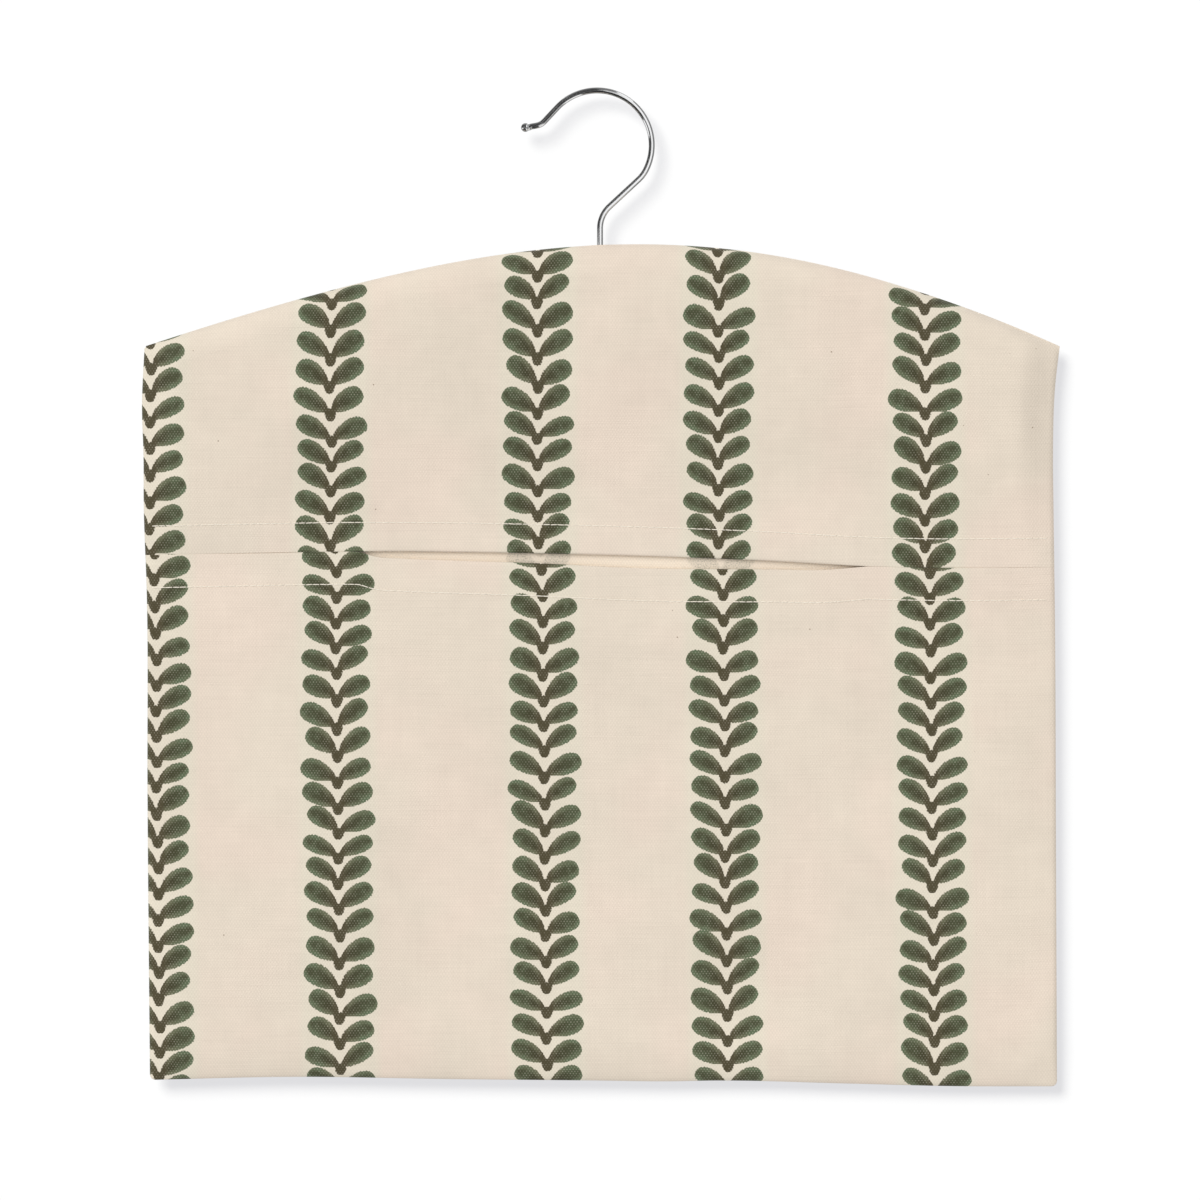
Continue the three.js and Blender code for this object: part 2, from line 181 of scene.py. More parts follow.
SETTINGS = {
    "peg_bag_cloth": ClothSizes,
    "peg_bag_print": PrintSizes,
    "peg_bag_hook": HookSizes,
    "peg_bag_finish": Finish,
    "peg_bag_stage": StageSettings,
}


def millimetres(group):
    """The lengths of a property group, in millimetres, under their own names."""
    return SimpleNamespace(**{name: getattr(group, name) / MM for name in group.__annotations__})


# Shader maths

def math_method(operation, reflected=False):
    """A method that adds one Math node. A reflected one takes the other value first."""
    def method(self, *others):
        inputs = (*others, self) if reflected else (self, *others)
        return self.nodes.add("ShaderNodeMath", {"operation": operation}, dict(enumerate(inputs)))
    return method


class Value:
    """A shader socket that takes part in plain arithmetic: each expression adds its Math nodes."""

    def __init__(self, nodes, socket):
        self.nodes = nodes
        self.socket = socket

    __add__ = math_method("ADD")
    __radd__ = math_method("ADD", True)
    __sub__ = math_method("SUBTRACT")
    __rsub__ = math_method("SUBTRACT", True)
    __mul__ = math_method("MULTIPLY")
    __rmul__ = math_method("MULTIPLY", True)
    __truediv__ = math_method("DIVIDE")
    __rtruediv__ = math_method("DIVIDE", True)
    __abs__ = math_method("ABSOLUTE")
    __gt__ = math_method("GREATER_THAN")
    floor = math_method("FLOOR")
    power = math_method("POWER")
    sine = math_method("SINE")
    cosine = math_method("COSINE")
    least = math_method("MINIMUM")
    most = math_method("MAXIMUM")

    def clip(self):
        return self.least(1.0).most(0.0)

    def smooth(self, start, end):
        """0 before start, 1 after end, and an S-shaped rise between them."""
        return self.nodes.add(
            "ShaderNodeMapRange", {"interpolation_type": "SMOOTHSTEP"},
            {"Value": self, "From Min": start, "From Max": end})

    def beside(self, output):
        """Another output of the node that this value comes from."""
        return Value(self.nodes, self.socket.node.outputs[output])


# Sockets of a Mix node that mixes colours
MIX_FACTOR = 0
MIX_FIRST = 6
MIX_SECOND = 7
MIX_RESULT = 2


class Nodes:
    """Builds one node tree."""

    def __init__(self, tree):
        self.tree = tree
        tree.nodes.clear()

    def add(self, kind, settings=None, inputs=None, output=0):
        """A node of a type, with its settings, then the values or links of its sockets."""
        node = self.tree.nodes.new(kind)
        for name, setting in (settings or {}).items():
            setattr(node, name, setting)
        for name, value in (inputs or {}).items():
            if isinstance(value, Value):
                self.tree.links.new(value.socket, node.inputs[name])
            else:
                node.inputs[name].default_value = value
        return Value(self, node.outputs[output]) if node.outputs else None

    def mix(self, factor, first, second):
        """One colour over another, each of them a value or a plain colour."""
        tones = [tone if isinstance(tone, Value) else rgba(tone) for tone in (first, second)]
        inputs = {MIX_FACTOR: factor, MIX_FIRST: tones[0], MIX_SECOND: tones[1]}
        return self.add("ShaderNodeMix", {"data_type": "RGBA"}, inputs, MIX_RESULT)

    def scaled(self, tone, factor):
        """A colour made lighter or darker."""
        return self.add(
            "ShaderNodeVectorMath", {"operation": "SCALE"}, {"Vector": tone, "Scale": factor})

    def vector(self, x, y, z=0.0):
        return self.add("ShaderNodeCombineXYZ", None, {"X": x, "Y": y, "Z": z})

    def split(self, vector):
        x = self.add("ShaderNodeSeparateXYZ", None, {"Vector": vector}, "X")
        return x, x.beside("Y"), x.beside("Z")

    def noise(self, place, scale, detail=2.0):
        """Soft noise at a place of two or three coordinates."""
        return self.add(
            "ShaderNodeTexNoise", None,
            {"Vector": self.vector(*place), "Scale": scale, "Detail": detail})

    def bump(self, height, strength, distance_mm):
        return self.add(
            "ShaderNodeBump", None,
            {"Strength": strength, "Distance": distance_mm * MM, "Height": height})

    def cloth_place(self):
        """Across and along the flat cloth, in millimetres."""
        across, along, _ = self.split(self.add("ShaderNodeUVMap", {"uv_map": CLOTH_MAP}))
        return across * UV_SPAN, along * UV_SPAN

    def object_place(self):
        """X, Y and Z in the frame, in metres."""
        return self.split(self.add("ShaderNodeTexCoord", output="Object"))


def material_tree(name):
    """A new material, and the builder of its nodes."""
    material = bpy.data.materials.new(name)
    material.use_nodes = True
    return material, Nodes(material.node_tree)


def surface(name, build, **constants):
    """A material: build gives what changes over the surface, constants what doesn't."""
    material, nodes = material_tree(name)
    shader = nodes.add("ShaderNodeBsdfPrincipled", None, {**constants, **build(nodes)})
    nodes.add("ShaderNodeOutputMaterial", None, {"Surface": shader})
    return material


def rgba(tone):
    return (*tone, 1.0)


# Cotton, print, thread, metal and wood

CLOTH_MAP = "cloth"
UV_SPAN = 1000.0
CLOTH_GLOSS = {"Specular IOR Level": 0.25, "Sheen Weight": 0.12}
TURN = 2 * math.pi

# Each leaf's least and most tilt in radians, share of the leaf length and share of the leaf width
LEAF_TILT = (0.4, 0.67)
LEAF_REACH = (0.92, 1.04)
LEAF_HALF = (0.45, 0.54)

# A leaf's foot beside and above its row, how much lower a long leaf starts, and its bend and outline
LEAF_FOOT_OUT = 0.5
LEAF_FOOT_UP = 1.0
LEAF_FOOT_CHANCE = 0.8
LEAF_BEND = 1.4
LEAF_FOOT_ROUND = 0.7
LEAF_TIP_ROUND = 0.4
LEAF_FULL = 2.04

# The bud below a pair of leaves, and how unevenly the stripe is printed
BUD_FOOT = 3.4
BUD_HEIGHT = 5.0
BUD_ROUND = 0.32
STRIPE_WOBBLE = 2.4
ROW_DRIFT = 0.5
ROW_START = 7.0
RAGGED_EDGE = 0.9

# Bands of the print, in millimetres from the stripe's middle
BUD_BAND = (1.8, 4.2)
GREEN_BAND = (3.5, 10.0)
PALE_BAND = (13.0, 18.0)

# Bands of the print, in millimetres from a leaf's edge
CORE_BAND = (0.3, 2.7)
INK_EDGE = (-0.15, 0.25)
GHOST_EDGE = (-0.6, 0.6)

# Scales of the noise on the cloth, in turns to a millimetre
BLUSH_SCALE = 0.018
BROAD_SCALE = 0.022
WANDER_SCALE = 0.08
CLOUD_SCALE = 0.11
FLECK_SCALE = 0.11
PATCH_SCALE = 0.3
WORN_SCALE = 0.7
RAGGED_SCALE = 1.1
SPECKLE_SCALE = 1.6

# Scales of the noise on the thread, metal and wood, in turns to a metre
FUZZ_SCALE = 900.0
CHROME_SCALE = 160.0
ZINC_SCALE = 700.0

# Length of one turn of the sewing thread, in millimetres
THREAD_TWIST = 0.5


def weave(nodes, place, sizes):
    """Height of a plain weave: each weft yarn rises over every other warp yarn, row by row in turn."""
    across, along = place
    wander = nodes.noise(place, WANDER_SCALE)
    warp = ((across + wander) * (TURN / sizes.warp_pair)).cosine()
    turn = (along + wander) * (TURN / sizes.weft_pair)
    return warp * turn.cosine() * 0.4 + (turn * 2.0).cosine() * 0.1 + 0.5


def slubs(nodes, place):
    """Uneven yarn: thin streaks along the weft and fainter ones along the warp."""
    across, along = place
    weft = nodes.noise((across * 0.035, along * 1.3), 1.0, 3.0)
    warp = nodes.noise((across * 1.3, along * 0.03), 1.0, 3.0)
    return (weft - 0.5) * 1.3 + (warp - 0.5) * 0.8


def between(limits, chance):
    """A value from a least to a most one, by a chance from 0 to 1."""
    least, most = limits
    return least + chance * (most - least)


def leaf_distance(nodes, leaf, out, up, sizes):
    """Distance from a leaf's outline, less than 0 inside. leaf is its number, out and up its place."""
    chance = nodes.add(
        "ShaderNodeTexWhiteNoise", {"noise_dimensions": "3D"}, {"Vector": leaf}, "Color")
    tilt, grow, swell = nodes.split(chance)
    angle = between(LEAF_TILT, tilt)
    reach = sizes.leaf_length * between(LEAF_REACH, grow)
    half = sizes.leaf_width * between(LEAF_HALF, swell)
    x = out - LEAF_FOOT_OUT
    y = up - LEAF_FOOT_UP + grow * LEAF_FOOT_CHANCE
    along = x * angle.cosine() + y * angle.sine()
    share = (along / reach).clip()
    off = y * angle.cosine() - x * angle.sine() - share * (1.0 - share) * LEAF_BEND
    outline = share.power(LEAF_FOOT_ROUND) * (1.0 - share).power(LEAF_TIP_ROUND) * half * LEAF_FULL
    past = (along - reach).most(0.0 - along).most(0.0)
    return abs(off) - outline + past


def bud_distance(side, up, sizes):
    """Distance from the bud below a pair of leaves."""
    height = (up + BUD_FOOT) / BUD_HEIGHT
    outline = height.clip().power(BUD_ROUND) * sizes.bud_radius
    return (abs(side) - outline).most((height - 1.0) * BUD_HEIGHT).most(height * -BUD_HEIGHT)


def leaf_stripe(nodes, place, sizes):
    """The printed stripe: distance from the nearest leaf or bud, and from the stripe's middle."""
    across, along = place
    start = (sizes.repeat - sizes.stripe_gap) / 2
    count = ((across + start) / sizes.repeat).floor()
    in_repeat = across - count * sizes.repeat
    second = in_repeat > sizes.stripe_gap / 2
    stripe = count * 2.0 + second
    wobble = (nodes.noise((stripe * 37.0, along * 0.035), 1.0, 1.0) - 0.5) * STRIPE_WOBBLE
    side = in_repeat - second * sizes.stripe_gap + wobble
    right = side > 0.0
    out = abs(side)
    phase = nodes.add("ShaderNodeTexWhiteNoise", {"noise_dimensions": "1D"}, {"W": stripe})
    drift = (nodes.noise((stripe * 11.0, along * 0.02), 1.0, 1.0) - 0.5) * ROW_DRIFT
    turn = along / sizes.leaf_pitch + phase * ROW_START + drift
    row = turn.floor()
    up = (turn - row) * sizes.leaf_pitch
    here = leaf_distance(nodes, nodes.vector(stripe, row, right), out, up, sizes)
    below = leaf_distance(
        nodes, nodes.vector(stripe, row - 1.0, right), out, up + sizes.leaf_pitch, sizes)
    buds = bud_distance(side, up, sizes).least(bud_distance(side, up - sizes.leaf_pitch, sizes))
    ragged = (nodes.noise(place, RAGGED_SCALE) - 0.5) * RAGGED_EDGE
    return here.least(below).least(buds) + ragged, out


def flecks(nodes, place):
    """Rare dark specks of cotton seed."""
    across, along = place
    distance = nodes.add(
        "ShaderNodeTexVoronoi", {"feature": "F1"},
        {"Vector": nodes.vector(across * FLECK_SCALE, along * FLECK_SCALE), "Scale": 1.0}, "Distance")
    near = 1.0 - distance.smooth(0.012, 0.045)
    chosen = nodes.split(distance.beside("Color"))[0] > 0.72
    return near * chosen


def cloth_bump(nodes, threads, uneven):
    return nodes.bump(threads * 0.8 + uneven * 0.9, 0.45, 0.25)


def printed_cotton(finish, sizes):
    def build(nodes):
        place = nodes.cloth_place()
        threads = weave(nodes, place, sizes)
        uneven = slubs(nodes, place)
        distance, out = leaf_stripe(nodes, place, sizes)
        beside = 1.0 - out.smooth(*PALE_BAND)
        blush = nodes.noise(place, BLUSH_SCALE, 3.0).smooth(0.4, 0.68)
        ground = nodes.mix(blush * 0.85, finish.cotton, finish.cotton_warm)
        ground = nodes.mix(beside * 0.75, ground, finish.cotton_stripe)
        broad = nodes.noise(place, BROAD_SCALE, 3.0) - 0.5
        cloud = nodes.noise(place, CLOUD_SCALE) - 0.5
        # Random tone from broad, cloud and uneven yarn; the weave's crests are lighter and the hollows
        # between its yarns darker: painted shade of the weave
        tone = 1.0 + broad * 0.16 + cloud * 0.09 + uneven * 0.07 + (threads - 0.5) * 0.13
        ground = nodes.scaled(ground, tone)
        ground = nodes.mix(flecks(nodes, place) * 0.8, ground, finish.fleck)
        core = (0.0 - distance).smooth(*CORE_BAND)
        bud = 1.0 - out.smooth(*BUD_BAND)
        patch = nodes.noise(place, PATCH_SCALE).smooth(0.4, 0.62)
        green = out.smooth(*GREEN_BAND) * (0.5 + patch * 0.5) * (1.0 - core * 0.6)
        ink = nodes.mix(core, finish.ink_light, finish.ink_dark)
        ink = nodes.mix(green, ink, finish.ink_green)
        ink = nodes.mix(bud, ink, finish.ink_bud)
        worn = nodes.noise(place, WORN_SCALE).smooth(0.35, 0.65)
        gaps = threads.smooth(0.5, 0.9) * (0.09 + worn * 0.1 + patch * 0.12 - core * 0.05 - bud * 0.08)
        edge = distance + (threads - 0.5) * 0.36
        cover = (1.0 - edge.smooth(*INK_EDGE)) * (1.0 - gaps)
        return {
            "Base Color": nodes.mix(cover, ground, ink),
            "Roughness": 0.93 - cover * 0.08,
            "Normal": cloth_bump(nodes, threads, uneven),
        }
    return surface("printed cotton", build, **CLOTH_GLOSS)


def cotton_reverse(finish, sizes):
    def build(nodes):
        place = nodes.cloth_place()
        threads = weave(nodes, place, sizes)
        uneven = slubs(nodes, place)
        distance, _ = leaf_stripe(nodes, place, sizes)
        speckle = nodes.noise(place, SPECKLE_SCALE).smooth(0.45, 0.75)
        ghost = (1.0 - distance.smooth(*GHOST_EDGE)) * (0.12 + speckle * 0.4)
        # Tone from uneven yarn; the weave's crests are lighter and the hollows between its yarns darker:
        # painted shade of the weave
        tone = 1.0 + uneven * 0.06 + (threads - 0.5) * 0.14
        ground = nodes.scaled(tuple(finish.reverse), tone)
        return {
            "Base Color": nodes.mix(ghost, ground, finish.ink_light),
            "Roughness": 0.92 + uneven * 0.05,
            "Normal": cloth_bump(nodes, threads, uneven),
        }
    return surface("cotton reverse", build, **CLOTH_GLOSS)


def sewing_thread(finish):
    def build(nodes):
        x, y, z = nodes.object_place()
        twist = ((x + z) * (TURN / (THREAD_TWIST * MM))).sine()
        fuzz = nodes.noise((x, y, z), FUZZ_SCALE) - 0.5
        return {
            # Each turn of the twist is lighter on its crest and darker in its groove, as in the bump:
            # painted shade of the twist; fuzz adds random tone
            "Base Color": nodes.scaled(tuple(finish.thread), 1.0 + twist * 0.05 + fuzz * 0.12),
            "Roughness": 0.72 + fuzz * 0.2,
            "Normal": nodes.bump(twist, 0.4, 0.06),
        }
    return surface("sewing thread", build, **{"Specular IOR Level": 0.3})


def chrome_plate(finish):
    def build(nodes):
        x, y, z = nodes.object_place()
        drawn = nodes.noise((x * 900.0, y * 900.0, z * 90.0), 1.0, 3.0)
        cloud = nodes.noise((x, y, z), CHROME_SCALE)
        return {"Roughness": 0.07 + drawn * 0.06 + cloud * 0.05}
    return surface("chrome plate", build, **{"Base Color": rgba(finish.chrome), "Metallic": 1.0})


def zinc_plate(finish):
    def build(nodes):
        cloud = nodes.noise(nodes.object_place(), ZINC_SCALE, 3.0)
        return {"Roughness": 0.3 + cloud * 0.25}
    return surface("zinc plate", build, **{"Base Color": rgba(finish.zinc), "Metallic": 1.0})


def beech_wood(finish):
    def build(nodes):
        x, y, z = nodes.object_place()
        rings = nodes.noise((x * 6.0, y * 160.0, z * 160.0), 1.0, 3.0)
        pores = nodes.noise((x * 90.0, y * 1500.0, z * 1500.0), 1.0)
        grain = (rings.smooth(0.35, 0.7) * 0.6 + pores.smooth(0.55, 0.75) * 0.4).clip()
        return {
            "Base Color": nodes.mix(grain, finish.beech, finish.beech_dark),
            "Roughness": 0.48 + pores * 0.2,
            "Normal": nodes.bump(pores, 0.2, 0.2),
        }
    return surface("sanded beech", build)


# Curves that the shapes share

def ease(distance, span):
    """An S-shaped rise from 0 to 1 over a span."""
    t = np.clip(distance / span, 0, 1)
    return t * t * (3 - 2 * t)


def roll(distance, radius):
    """A quarter round: 0 at the edge, 1 at a radius from it."""
    return np.sqrt(1 - (1 - np.clip(distance / radius, 0, 1)) ** 2)


def at_least(least, share):
    """A share from 0 to 1, raised so that it starts from a least value."""
    return least + (1 - least) * share


def smooth_curve(points, at):
    """A smooth curve through a few points."""
    places, heights = np.array(points, float).T
    slopes = np.gradient(heights, places)
    at = np.clip(at, places[0], places[-1])
    cell = np.clip(np.searchsorted(places, at) - 1, 0, len(places) - 2)
    step = places[cell + 1] - places[cell]
    t = (at - places[cell]) / step
    before = heights[cell] * (1 + 2 * t) + slopes[cell] * step * t
    after = heights[cell + 1] * (3 - 2 * t) + slopes[cell + 1] * step * (t - 1)
    return before * (1 - t) ** 2 + after * t ** 2


def waves(x, z, seed, count, shortest, longest):
    """Soft unevenness from a few long waves in all directions."""
    draw = np.random.default_rng(seed)
    total = np.zeros(np.broadcast(x, z).shape)
    for _ in range(count):
        angle, phase = draw.uniform(0, TURN, 2)
        turns = TURN / draw.uniform(shortest, longest)
        total += np.sin(turns * (x * np.cos(angle) + z * np.sin(angle)) + phase)
    return total / math.sqrt(count)


def crease(x, z, start, end, width, height):
    """A soft fold along a straight line, fading out at both ends."""
    (x0, z0), (x1, z1) = start, end
    reach = math.hypot(x1 - x0, z1 - z0)
    along = ((x - x0) * (x1 - x0) + (z - z0) * (z1 - z0)) / reach
    across = ((x - x0) * (z1 - z0) - (z - z0) * (x1 - x0)) / reach
    fade = ease(along, reach / 3) * ease(reach - along, reach / 3)
    return height * fade * np.exp(-(across / width) ** 2)


# Outline of the bag as it lies: places along each edge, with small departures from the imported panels

LEFT_INSET = (
    (-396, 2.1), (-280, 1.1), (-200, 0.8), (-165, -0.4), (-145, -0.5), (-125, -1.1), (-100, 0.0))
RIGHT_INSET = (
    (-396, -0.7), (-300, -0.3), (-210, 0.1), (-165, 0.7), (-145, 0.9), (-118, 0.1), (-100, -1.9))
BOTTOM_RISE = (
    (-183, 0.8), (-125, 2.1), (-60, 1.2), (0, 0.6), (28, 0.3), (45, 0.6), (100, -0.6), (140, -1.6),
    (184, -1.7))
LIP_RISE = (
    (-183, 2.2), (-92, 3.7), (-24, 2.9), (30, 1.45), (70, -0.2), (104, -2.1), (124, -2.7), (184, -2.6))
MOUTH_OPEN = (
    (-97, 0), (-90, 0.42), (-80, 0.57), (-62, 0.69), (-30, 0.8), (20, 1), (66, 0.71), (90, 0.46),
    (107.5, 0))
TAIL_START = -101.0
TAIL_RUN = 6.0
TAIL_SHARE = 0.05
CLOSED_GAP = 0.02
LOW_CORNER = 2.2

# The top edge: a round crown with straighter shoulders, pulled a little to one side
TOP_LIFT = 0.85
TOP_DROP = 41.1
TOP_PULL = 15.4
TOP_ROUNDNESS = 1.19
SHOULDER_Z = -103.0
TOP_CORNER = 2.2


def left_edge(z):
    return smooth_curve(LEFT_INSET, z) - HALF_WIDTH


def right_edge(z):
    return HALF_WIDTH - smooth_curve(RIGHT_INSET, z)


def from_side(x, z):
    """Distance from the nearer side seam."""
    return np.minimum(x - left_edge(z), right_edge(z) - x)


def top_edge(x):
    share = x / HALF_WIDTH
    pulled = (x - TOP_PULL * (1 - share ** 2)) / HALF_WIDTH
    bow = np.sqrt(pulled ** 2 + TOP_ROUNDNESS ** 2) - TOP_ROUNDNESS
    drop = TOP_DROP * bow / (math.hypot(1, TOP_ROUNDNESS) - TOP_ROUNDNESS)
    return APEX_Z + TOP_LIFT - drop - TOP_CORNER * (1 - roll(from_side(x, SHOULDER_Z), TOP_CORNER))


def bottom_edge(x):
    corner = LOW_CORNER * (1 - roll(from_side(x, BOTTOM_Z), LOW_CORNER))
    return BOTTOM_Z + smooth_curve(BOTTOM_RISE, x) + corner


def upper_lip(x):
    return LIP_Z + smooth_curve(LIP_RISE, x)


def mouth_share(x):
    """How wide the mouth stands open: 1 in its middle, 0 past its ends, a thin slit at its left end."""
    tail = TAIL_SHARE * np.clip((x - TAIL_START) / TAIL_RUN, 0, 1) * (x < 0)
    return np.maximum(smooth_curve(MOUTH_OPEN, x), tail)


def lower_lip(x, mouth_gap):
    """The lower lip sags from the upper one in the middle and closes up towards the sides."""
    return upper_lip(x) - CLOSED_GAP - (mouth_gap - CLOSED_GAP) * mouth_share(x)


# Relief of the cloth: rolled seams, swell, the fall below the hanger, and the room for the hook

EDGE_ROLL = 2.2
TIGHT_MOST = 0.8
BOTTOM_ROLL = 8.0
SIDE_SWELL = 15.0
BOTTOM_SWELL = 26.0
BOTTOM_FULL = 2.6
BOTTOM_FULL_FROM = 3.0
TOP_ROUND = 10.6
HANGER_REACH = 36.0
FALL = 70.0
FRONT_PROUD = 0.2
FRONT_FLAT = 2.2
FRONT_WRAP = 0.25
BACK_FLAT = 3.6
BACK_WRAP = 0.35
BACK_INSET = 0.5
BACK_CLING = 3.1
CLING_SIDE = 14.0
CLING_SWELL = 50.0
CLING_REACH = 48.0
CLING_CALM = 0.8
UNEVEN = 0.30
UNEVEN_WAVES = (9, 45, 120)
HOOK_OPENING = 2.0
HOOK_REACH = 5.0
HOOK_DEEP = 6.0

# Relief of the hems: their step, the line drawn in by the thread, its puckers, and the turn of the lips
HEM_LAYERS = 3
HEM_RELIEF = 0.15
HEM_STEP = 3.0
HEM_FULL_RISE = 0.8
THREAD_DRAW = 0.05
THREAD_REACH = 0.9
PUCKER = 0.08
PUCKER_REACH = 7.0
PUCKER_STRETCH = 0.25
PUCKER_SEED = 5
PUCKER_WAVES = (8, 5.0, 11.0)
LIP_STEP = 0.45
LIP_STEP_CLOSED = 0.35
LIP_TURN = 0.35
LIP_TURN_REACH = 2.2
LIP_TURN_CLOSED = 0.3
LIP_TURN_OPEN = 0.3


class Panel:
    """One cut piece of the bag: its edges as it lies, and how far its face stands off the seam plane."""

    def __init__(self, low, high, full, edge, seed, creases, lip=None, cling=None, hem_extra=0.0):
        self.low, self.high, self.full = low, high, full
        self.edge, self.seed, self.creases = edge, seed, creases
        self.lip, self.cling, self.hem_extra = lip, cling, hem_extra
        self.sewn_low, self.sewn_top = low is not lip, high is not lip

    def depth(self, x, z):
        """Distance of the outer face from the seam plane."""
        full = self.full(x, z)
        side = from_side(x, z)
        rise = seam_rise(side, EDGE_ROLL, SIDE_SWELL, full)
        soft = ease(side, 2 * SIDE_SWELL)
        if self.sewn_low:
            above = z - self.low(x)
            rise = rise * seam_rise(above, BOTTOM_ROLL, BOTTOM_SWELL, full)
            soft = soft * ease(above, BOTTOM_SWELL)
        if self.sewn_top:
            below = self.high(x) - z
            rise = rise * roll(below, TOP_ROUND)
            soft = soft * ease(below, 3 * TOP_ROUND)
        relief = UNEVEN * waves(x, z, self.seed, *UNEVEN_WAVES)
        for fold in self.creases:
            relief = relief + crease(x, z, *fold)
        if self.cling is not None:
            soft = soft * (1 - CLING_CALM * self.cling(x, z))
        total = self.edge + (full - self.edge) * rise + relief * soft
        if self.lip is not None:
            total = total + self.hem_relief(x, z) * ease(rise, HEM_FULL_RISE)
        if self.sewn_top:
            open_for_hook = HOOK_OPENING * np.exp(-(x / HOOK_REACH) ** 2)
            total = np.maximum(total, open_for_hook * ease(HOOK_DEEP - below, HOOK_DEEP))
        return total

    def hem_relief(self, x, z):
        """The hem stands a little proud, is drawn in along its stitching and puckers beside it."""
        sizes = millimetres(bpy.context.scene.peg_bag_cloth)
        distance = abs(z - self.lip(x)) - self.hem_extra
        band = HEM_RELIEF * (1 - ease(distance - sizes.hem_depth + HEM_STEP / 2, HEM_STEP))
        from_line = distance - sizes.stitch_line
        drawn = -THREAD_DRAW * np.exp(-(from_line / THREAD_REACH) ** 2)
        near = np.exp(-(from_line / PUCKER_REACH) ** 2)
        gather = PUCKER * near * waves(x, z * PUCKER_STRETCH, self.seed + PUCKER_SEED, *PUCKER_WAVES)
        return band + drawn + gather


def seam_rise(distance, radius, swell, full):
    """Share of the full depth beside a turned seam: a tight roll, then a slow swell."""
    tight = np.minimum(EDGE_ROLL / full, TIGHT_MOST)
    return tight * roll(distance, radius) + (1 - tight) * ease(distance, swell)


def fall(x, z):
    """0 over the hanger, 1 where the cloth has fallen flat below it."""
    return ease(top_edge(x) - z - HANGER_REACH, FALL)


def front_depth(x, z):
    return FACE_DEPTH + FRONT_PROUD + (FRONT_FLAT - FACE_DEPTH - FRONT_PROUD) * fall(x, z)


def upper_depth(x, z):
    """The upper front turns in a little along its lip, most where the mouth stands open."""
    near = 1 - np.clip((z - upper_lip(x)) / LIP_TURN_REACH, 0, 1)
    open_share = ease(mouth_share(x), LIP_TURN_OPEN)
    return front_depth(x, z) - LIP_TURN * near ** 2 * at_least(LIP_TURN_CLOSED, open_share)


def mouth_cling(x, z):
    """How far the back clings to the front behind the mouth: 1 in the middle of it."""
    inside = ease(HALF_WIDTH - abs(x) - CLING_SIDE, CLING_SWELL)
    return inside * np.exp(-((z - LIP_Z) / CLING_REACH) ** 2)


def back_depth(x, z):
    """The back falls flat too, and clings to the front behind the mouth."""
    return FACE_DEPTH + (BACK_FLAT - FACE_DEPTH) * fall(x, z) - BACK_CLING * mouth_cling(x, z)


# The three panels. A crease has a start, an end, a width and a height

UPPER_CREASES = (
    ((40, -96), (112, -138), 7.0, 0.30),
    ((-150, -150), (-60, -168), 9.0, 0.25),
    ((70, -165), (160, -150), 8.0, -0.22),
    ((146, -88), (170, -118), 2.2, 0.22),
    ((156, -90), (176, -108), 1.8, -0.2),
    ((120, -84), (138, -108), 3.0, 0.18),
)
LOWER_CREASES = (
    ((99, -205), (97, -335), 4.5, 0.30),
    ((-14, -226), (56, -228), 3.0, -0.25),
    ((-180, -206), (-105, -246), 9.0, 0.35),
    ((20, -330), (150, -372), 10.0, 0.30),
    ((-120, -300), (-40, -380), 11.0, -0.30),
)
BACK_CREASES = (
    ((-120, -130), (60, -300), 12.0, 0.35),
    ((30, -200), (150, -360), 12.0, -0.30),
)


def upper_panel():
    return Panel(
        low=upper_lip, high=top_edge, full=upper_depth, edge=-FRONT_WRAP, seed=11,
        creases=UPPER_CREASES, lip=upper_lip)


def lower_panel(sizes):
    def lip(x):
        return lower_lip(x, sizes.mouth_gap)

    def depth(x, z):
        fuller = BOTTOM_FULL * (1 - ease(z - bottom_edge(x) - BOTTOM_FULL_FROM, BOTTOM_SWELL))
        return front_depth(x, z) - LIP_STEP * at_least(LIP_STEP_CLOSED, mouth_share(x)) + fuller

    return Panel(
        low=bottom_edge, high=lip, full=depth, edge=-FRONT_WRAP, seed=23,
        creases=LOWER_CREASES, lip=lip, hem_extra=sizes.lower_extra)


def back_panel():
    return Panel(
        low=bottom_edge, high=top_edge, full=back_depth, edge=BACK_WRAP, seed=37,
        creases=BACK_CREASES, cling=mouth_cling)


# Meshes

ROLL_ANGLES = np.radians((0, 9, 20, 33, 48, 66, 90))
CELL = 2.4
BACK_CELL = 1.4 * CELL
STRIPS = 3
SLIVER = 0.018
GRID_ROUNDS = 3

# Rows beside a lip, on both sides of its stitching and on both sides of the hem's edge
LIP_ROWS = (1.0, 1.5, 2.2, 4.2, 6.4, 8.2)
STITCH_ROWS = np.array((-2.4, -1.4, -0.8, -0.35, 0, 0.35, 0.8))
HEM_EDGE_ROWS = np.array((-0.1, 0.15, 1.2, 2.6))

# The folded hem inside, the round of each lip, and how far the inner face lies within the outer one
HEM_SIDE_STEP = 2.0
FOLD_EDGE = 0.1
FOLD_STEP = 0.25
LIP_ROUND_CLOSED = 0.22
LIP_ROUND_OPEN = 0.5
INNER_INSET = 0.7


def placed(name, data):
    """A mesh, lamp or camera as an object of the scene."""
    item = bpy.data.objects.new(name, data)
    bpy.context.collection.objects.link(item)
    return item


def mesh_object(name, points, faces, materials, smooth=True):
    mesh = bpy.data.meshes.new(name)
    mesh.from_pydata(points, [], faces)
    mesh.polygons.foreach_set("use_smooth", np.full(len(faces), smooth))
    for material in materials:
        mesh.materials.append(material)
    mesh.update()
    return placed(name, mesh)


def roll_steps(radius):
    """Distances from an edge that follow its quarter round evenly."""
    return radius * (1 - np.cos(ROLL_ANGLES))


def spread(start, end, cell):
    """Evenly spaced shares between two places, without the ends."""
    count = max(2, int(round((end - start) / cell)))
    return np.arange(1, count) / count


